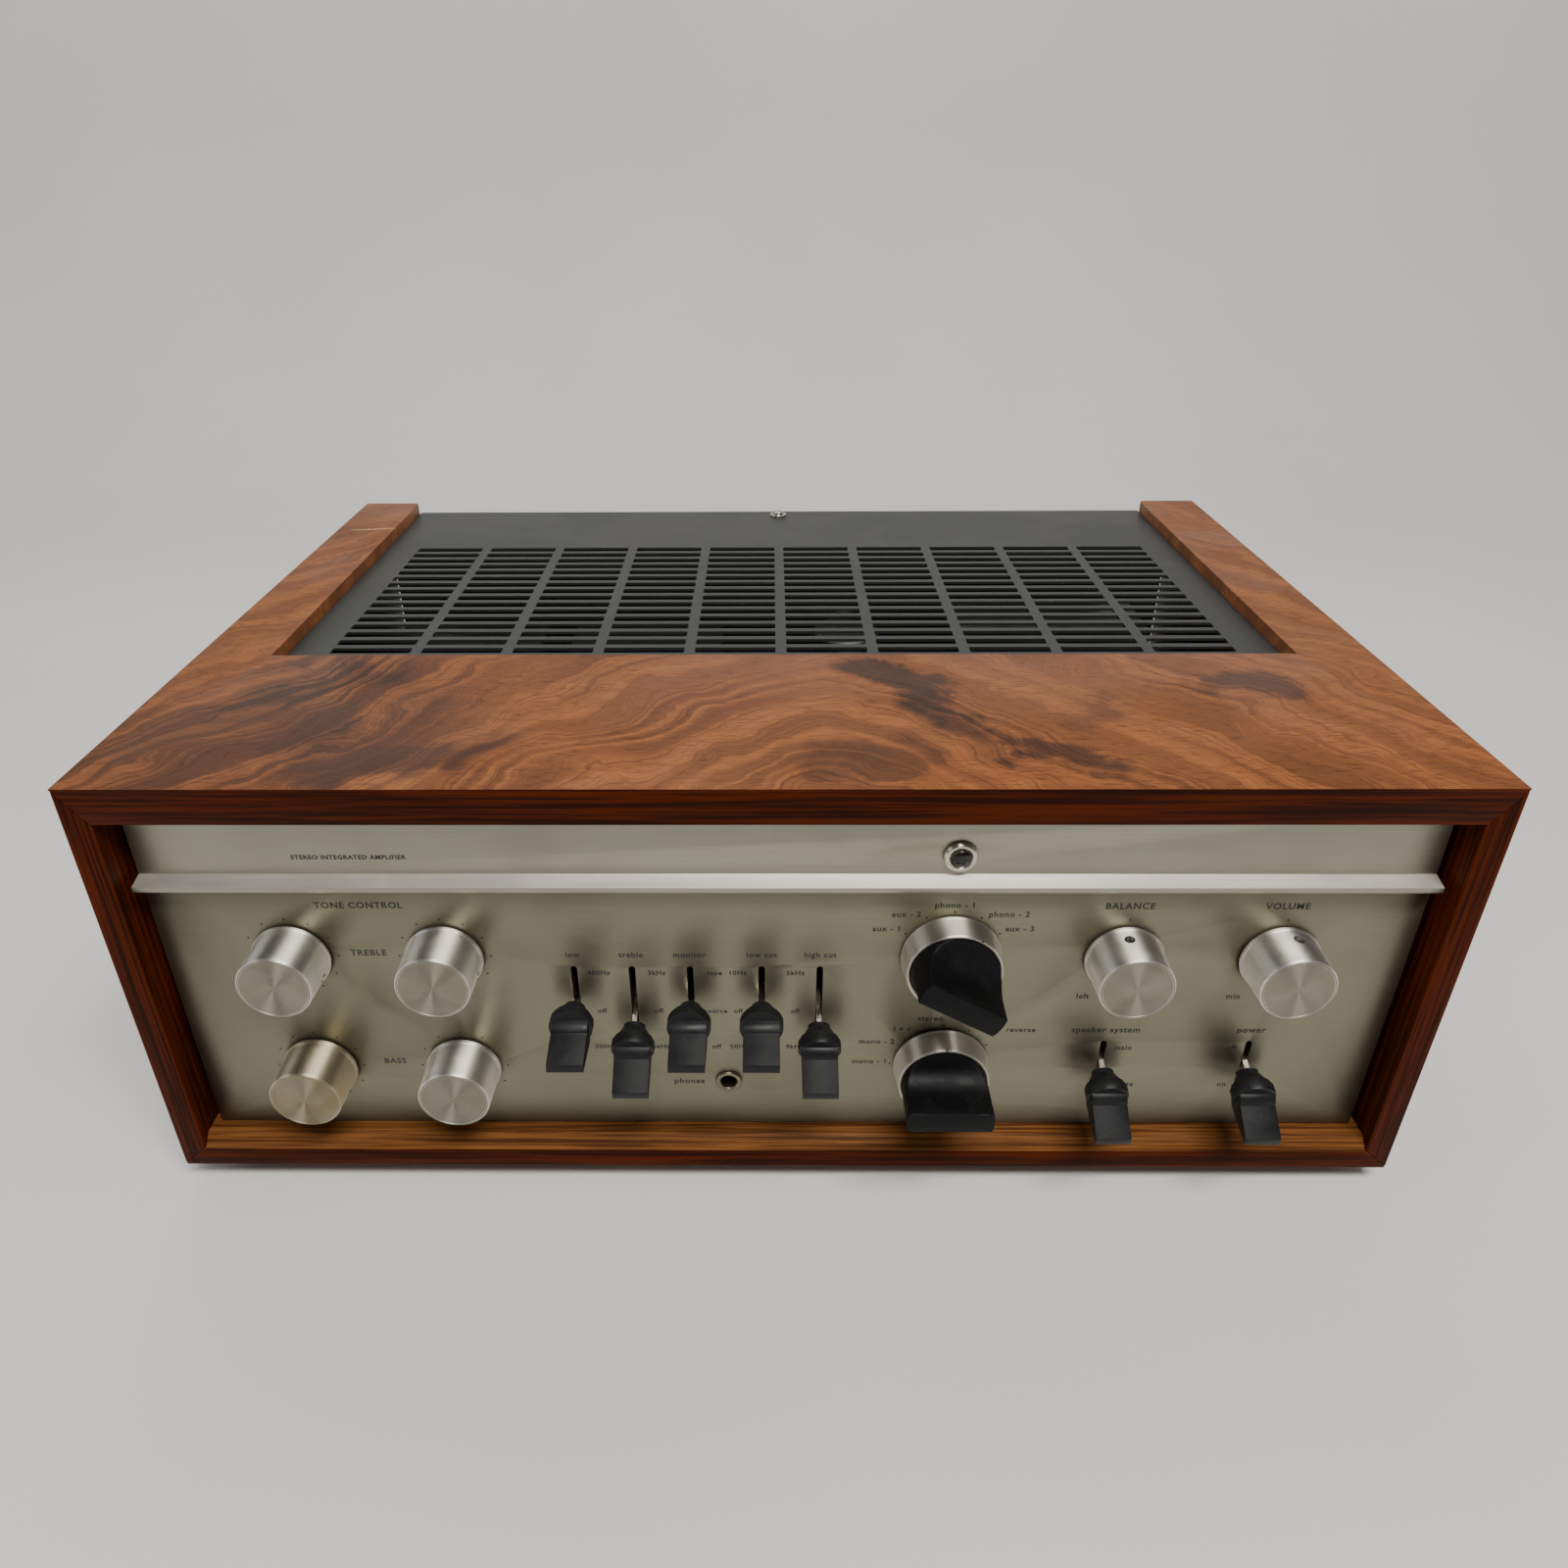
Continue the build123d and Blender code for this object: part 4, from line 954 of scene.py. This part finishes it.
def make_lamp_and_jack():
    """The pilot lamp's rim and lens in the header, and the headphone jack's bush and body."""
    centre = face_middle("lamp_bezel")
    bezel = turned((
        (3.55, -11.0), (4.0, -11.0), (4.0, 0.02), (5.6, 0.02), (5.9, 0.35), (5.9, 1.3), (5.2, 2.1),
        (4.7, 2.2), (4.2, 2.1), (3.7, 1.5), (3.55, 1.2), (3.55, -11.0),
    ), 64, 0.12)
    map_turning(bezel)
    shift(bezel, centre)
    finish(bezel, "lamp_ring", CABINET, BEZEL_METAL, ("lamp_bezel",), smooth=30.0)
    lens = turned((
        (0.0, -10.0), (3.5, -10.0), (3.5, 1.4), (3.2, 2.2), (2.4, 2.75), (1.2, 3.0), (0.0, 3.05),
    ), 48)
    shift(lens, centre)
    finish(lens, "lamp_window", CABINET, LAMP_GLASS, ("lamp_lens",), smooth=60.0)

    centre = face_middle("headphone_jack")
    bush = turned((
        (3.2, -26.0), (4.5, -26.0), (4.5, 0.02), (4.9, 0.02), (5.0, 0.3), (5.0, 0.9), (4.7, 1.25),
        (4.1, 1.4), (3.7, 1.3), (3.2, 0.8), (3.2, -26.0),
    ), 64, 0.1)
    shift(bush, centre)
    finish(bush, "jack_bush", CABINET, DARK_NICKEL, smooth=30.0)
    shell = block((-8.0 * MM, 4.5 * MM, -10.0 * MM), (8.0 * MM, 32.5 * MM, 10.0 * MM))
    cut(shell, turned(((0.0, 2.0), (4.5, 2.0), (4.5, -26.0), (0.0, -26.0)), 48))
    soften(shell, 0.6, 2, 40.0)
    shift(shell, centre)
    finish(shell, "jack_body", CABINET, BROWN_MOULDING, ("headphone_jack",))


# ---------------------------------------------------------------- valves and rear fittings

RISE = Matrix.Rotation(math.radians(-90.0), 4, "X")
REARWARD = Matrix.Rotation(math.radians(180.0), 4, "Z")


def clusters(name, axis, gap):
    """The boxes, in metres, of a node's separate lumps along one axis, split where the gap is wide enough."""
    vertices = frame["nodes"][name].data.vertices
    places = sorted((vertex.co.copy() for vertex in vertices), key=lambda co: co[axis])
    lumps = [[places[0]]]
    for place in places[1:]:
        if place[axis] - lumps[-1][-1][axis] > gap * MM:
            lumps.append([])
        lumps[-1].append(place)
    return [
        tuple(Vector([extreme(co[k] for co in lump) for k in range(3)]) for extreme in (min, max))
        for lump in lumps
    ]


def make_valves():
    """Glass valves: an envelope, a dark anode, a mirror at the top and, on the large ones, a moulded base."""
    for node, base, plate in (("output_valves", 15.0, 9.0), ("small_valves", 0.0, 5.6)):
        glass, inside, mirrors, bases = [], [], [], []
        for low, high in clusters(node, 0, 6.0):
            radius = (high.x - low.x) / 2 / MM - 0.1
            height = (high.z - low.z) / MM
            foot = Vector(((low.x + high.x) / 2, (low.y + high.y) / 2, low.z))
            wall = turned((
                (0.0, base + 0.4), (radius - 1.2, base + 0.4), (radius - 0.2, base + 2.0),
                (radius, base + 4.0), (radius, height - 12.0), (radius - 1.5, height - 6.5),
                (radius - 5.0, height - 2.6), (3.0, height - 1.2), (1.2, height - 0.3), (0.0, height - 0.1),
            ), 40)
            glass.append(shift(wall, foot, RISE))
            anode = turned((
                (0.0, base + 6.0), (plate, base + 6.0), (plate, base + 7.0), (plate * 0.8, base + 7.2),
                (plate * 0.8, height * 0.68), (plate, height * 0.69), (plate, height * 0.71),
                (0.0, height * 0.71),
            ), 12)
            inside.append(shift(anode, foot, RISE))
            mirror = turned((
                (0.0, height - 9.0), (plate * 0.9, height - 8.6), (plate * 0.9, height - 8.2),
                (0.0, height - 8.4),
            ), 32)
            mirrors.append(shift(mirror, foot, RISE))
            if base:
                cup = turned((
                    (0.0, 0.0), (radius - 1.5, 0.0), (radius - 1.2, base - 1.0), (radius - 0.6, base),
                    (0.0, base),
                ), 40)
                bases.append(shift(cup, foot, RISE))
        finish(joined(glass), node + "_glass", CABINET, VALVE_GLASS, (node,))
        finish(joined(inside), node + "_anodes", CABINET, ANODE)
        finish(joined(mirrors), node + "_mirrors", CABINET, GETTER)
        if bases:
            finish(joined(bases), node + "_bases", CABINET, BROWN_MOULDING)


def rear_label(text, place, size):
    """A printed word on the rear panel's outer face."""
    word = label(text, 0.0, 0.0, size)
    word.data.transform(Matrix.Translation((0.0, -PANEL_Y + PRINT_LIFT * MM, -UNDERSIDE)))
    return shift(word, (place[0], REAR_Y + PRINT_LIFT * MM, place[1]), REARWARD)


def make_rear():
    """Phono sockets in two rows, screw terminals, the cord gland, fixing screws and white printing."""
    low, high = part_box("phono_sockets")
    radius = 5.6 * MM
    shells, inserts = [], ([], [])
    columns = [low[0] + radius + (high[0] - low[0] - 2 * radius) * step / 5 for step in range(6)]
    rows = (low[2] + radius, high[2] - radius)
    for row, z in enumerate(rows):
        for x in columns:
            place = (x, REAR_Y, z)
            shell = turned((
                (3.3, -1.0), (3.3, 8.0), (3.9, 8.0), (4.15, 7.7), (4.15, 1.2), (5.2, 1.2), (5.5, 0.9),
                (5.5, 0.0), (3.3, -1.0),
            ), 32)
            shells.append(shift(shell, place, REARWARD))
            insert = turned(((1.6, -1.0), (1.6, 7.4), (3.3, 7.4), (3.3, -1.0), (1.6, -1.0)), 32)
            inserts[row].append(shift(insert, place, REARWARD))
    finish(joined(shells), "phono_shells", CABINET, NICKEL, ("phono_sockets",))
    finish(joined(inserts[0]), "phono_inserts_right", CABINET, RED_MOULDING)
    finish(joined(inserts[1]), "phono_inserts_left", CABINET, CREAM_MOULDING)

    posts = from_node("speaker_terminals", 0.5, 2)
    middles = [(start.x + end.x) / 2 for start, end in clusters("speaker_terminals", 0, 3.0)]

    def post_color(polygon):
        nearest = min(range(len(middles)), key=lambda number: abs(middles[number] - polygon.center.x))
        return 1 if nearest % 3 == 0 else 0

    face_materials(posts, post_color)
    colors = (BLACK_MOULDING, RED_MOULDING)
    finish(posts, "terminal_posts", CABINET, colors, ("speaker_terminals",))
    gland = from_node("mains_inlet", 0.6, 3)
    finish(gland, "cord_gland", CABINET, SOFT_BLACK, ("mains_inlet",))

    words = []
    names = ("PHONO 1", "PHONO 2", "AUX 1", "AUX 2", "AUX 3", "TAPE")
    for x, name in zip(columns, reversed(names)):
        words.append(rear_label(name, (x, rows[1] + 9.5 * MM), 2.8))
    words.append(rear_label("RIGHT", (columns[0] - 11 * MM, rows[0]), 2.4))
    words.append(rear_label("LEFT", (columns[0] - 11 * MM, rows[1]), 2.4))
    post_low, post_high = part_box("speaker_terminals")
    for first, side in ((0, "SPEAKERS RIGHT"), (3, "SPEAKERS LEFT")):
        words.append(rear_label(side, (middles[first + 1], post_high[2] + 6 * MM), 3.2))
        for number, mark in enumerate(("8", "4", "0")):
            words.append(rear_label(mark, (middles[first + number], post_low[2] - 5 * MM), 3.0))
    gland_low, gland_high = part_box("mains_inlet")
    words.append(rear_label("MAINS", ((gland_low[0] + gland_high[0]) / 2, gland_high[2] + 5 * MM), 3.0))
    finish(joined(words), "rear_printing", CABINET, WHITE_INK)

    heads = []
    blank = turned(((0.0, 0.0), (2.9, 0.0), (2.9, 0.5), (2.4, 1.3), (1.4, 1.7), (0.0, 1.8)), 24)
    cross = block((-1.4 * MM, -3 * MM, -0.25 * MM), (1.4 * MM, -1.0 * MM, 0.25 * MM))
    cut(blank, cross)
    for x in (-210.0, -70.0, 70.0, 210.0):
        for z in (REAR_FOOT + 8 * MM, REAR_FOOT + 140 * MM):
            heads.append(shift(copy_of(blank), (x * MM, REAR_Y, z), REARWARD))
    bpy.data.objects.remove(blank)
    finish(joined(heads), "rear_screws", CABINET, ZINC)


# ---------------------------------------------------------------- top, inside and underside

def make_metalwork():
    """Parts that keep the CAD's shape, with their edges softened where they show."""
    for name, width, material in (
        ("power_transformer", 0.8, IRON_PAINT), ("output_transformers", 0.8, IRON_PAINT),
        ("filter_capacitors", 0.9, CAN_METAL), ("valve_sockets", 0.5, BROWN_MOULDING),
        ("feet", 1.0, SOFT_BLACK), ("grille_screw", 0.3, ZINC),
    ):
        piece = from_node(name, width)
        finish(piece, name + "_body", CABINET, material, (name,))
    for names, material in (
        (("top_grille",), GRILLE_PAINT),
        (("rear_panel", "bottom_cover"), REAR_PAINT),
        (("chassis_frame",), DECK_PAINT),
        (("subpanel", "potentiometers"), PASSIVATED),
        (("rotary_switches", "lever_switches"), BROWN_MOULDING),
    ):
        for name in names:
            repaint(name, material)


# ---------------------------------------------------------------- floor, lights and camera

def make_stage():
    """A pale floor that curves up into a pale wall behind the cabinet."""
    deselect()
    bpy.ops.mesh.primitive_plane_add(size=1.0)
    cove = bpy.context.object
    cove.name = "studio_cove"
    edit(cove)
    bpy.ops.mesh.select_all(action="SELECT")
    bpy.ops.transform.resize(value=(7.0, 4.2, 1.0))
    pick(cove, lambda co: co.y > 0)
    bpy.ops.mesh.extrude_region_move(TRANSFORM_OT_translate={"value": (0.0, 0.0, 3.0)})
    done()
    shift(cove, (0.0, -1.0, 0.0))
    soften(cove, 400.0, 12, 30.0)
    take(cove)
    bpy.ops.object.shade_smooth()
    made, tree, shader = new_material("pale backdrop", (0.74, 0.73, 0.71), Roughness=0.85)
    cloudy = noise(tree, place_in_mm(tree), 0.004, 2.0)
    tone = blend_colors(tree, cloudy, (0.70, 0.69, 0.67), (0.78, 0.77, 0.75))
    feed(tree, shader, Base_Color=tone)
    cove.data.materials.append(made)


def area_light(name, place, target, size, power, color):
    """A soft rectangular lamp that faces its target."""
    deselect()
    bpy.ops.object.light_add(type="AREA", location=place)
    lamp = bpy.context.object
    lamp.name = name
    lamp.data.shape = "RECTANGLE"
    lamp.data.size, lamp.data.size_y = size
    lamp.data.energy = power
    lamp.data.color = color
    lamp.rotation_euler = (Vector(target) - Vector(place)).to_track_quat("-Z", "Y").to_euler()


def make_lights():
    """A lamp overhead, a weaker one behind, a fill from the left and a dim surround."""
    area_light("ceiling_panel", (0.35, -1.05, 1.95), (0.0, -0.05, 0.1), (1.3, 0.4), 52.0, (1.0, 0.97, 0.93))
    area_light("rear_panel_light", (-0.4, 1.0, 1.8), (0.0, 0.0, 0.1), (1.6, 0.6), 9.0, (0.98, 0.99, 1.0))
    area_light("left_fill", (-2.0, -0.6, 1.1), (0.0, 0.0, 0.1), (1.0, 1.0), 7.0, (0.96, 0.98, 1.0))
    world = bpy.data.worlds.new("studio air")
    world.use_nodes = True
    surround = world.node_tree.nodes["Background"]
    surround.inputs["Color"].default_value = (0.92, 0.94, 1.0, 1.0)
    surround.inputs["Strength"].default_value = 0.15
    bpy.context.scene.world = world


FRAME_SIZE = 1600.0
SENSOR = 36.0
FOCAL = 1105.2
CENTRE_X, CENTRE_Y = 774.6, 739.2
EYE_FROM_FRONT = -299.9
EYE_OVER_UNDERSIDE = 362.2
EYE_X = -4.46
YAW, PITCH, ROLL = 0.01209, 0.49204, 0.00691


def make_camera():
    """A wide lens close to the cabinet, looking down on its controls."""
    deselect()
    bpy.ops.object.camera_add()
    camera = bpy.context.object
    camera.name = "studio_camera"
    camera.data.sensor_width = SENSOR
    camera.data.lens = FOCAL / FRAME_SIZE * SENSOR
    camera.data.shift_x = (FRAME_SIZE / 2 - CENTRE_X) / FRAME_SIZE
    camera.data.shift_y = (CENTRE_Y - FRAME_SIZE / 2) / FRAME_SIZE
    camera.data.clip_start = 0.01
    forward = Vector((-math.sin(YAW) * math.cos(PITCH), math.cos(YAW) * math.cos(PITCH), -math.sin(PITCH)))
    right = Vector((math.cos(YAW), math.sin(YAW), 0.0))
    up = right.cross(forward)
    right_rolled = math.cos(ROLL) * right - math.sin(ROLL) * up
    up_rolled = math.sin(ROLL) * right + math.cos(ROLL) * up
    basis = Matrix((right_rolled, up_rolled, -forward)).transposed().to_4x4()
    eye = Vector((EYE_X * MM, FRONT_Y + EYE_FROM_FRONT * MM, UNDERSIDE + EYE_OVER_UNDERSIDE * MM))
    camera.matrix_world = Matrix.Translation(eye) @ basis
    bpy.context.scene.camera = camera


make_camera()
make_cabinet()
make_panel()
make_printing()
make_knobs()
make_selectors()
make_levers()
make_lamp_and_jack()
make_valves()
make_rear()
make_metalwork()
make_stage()
make_lights()
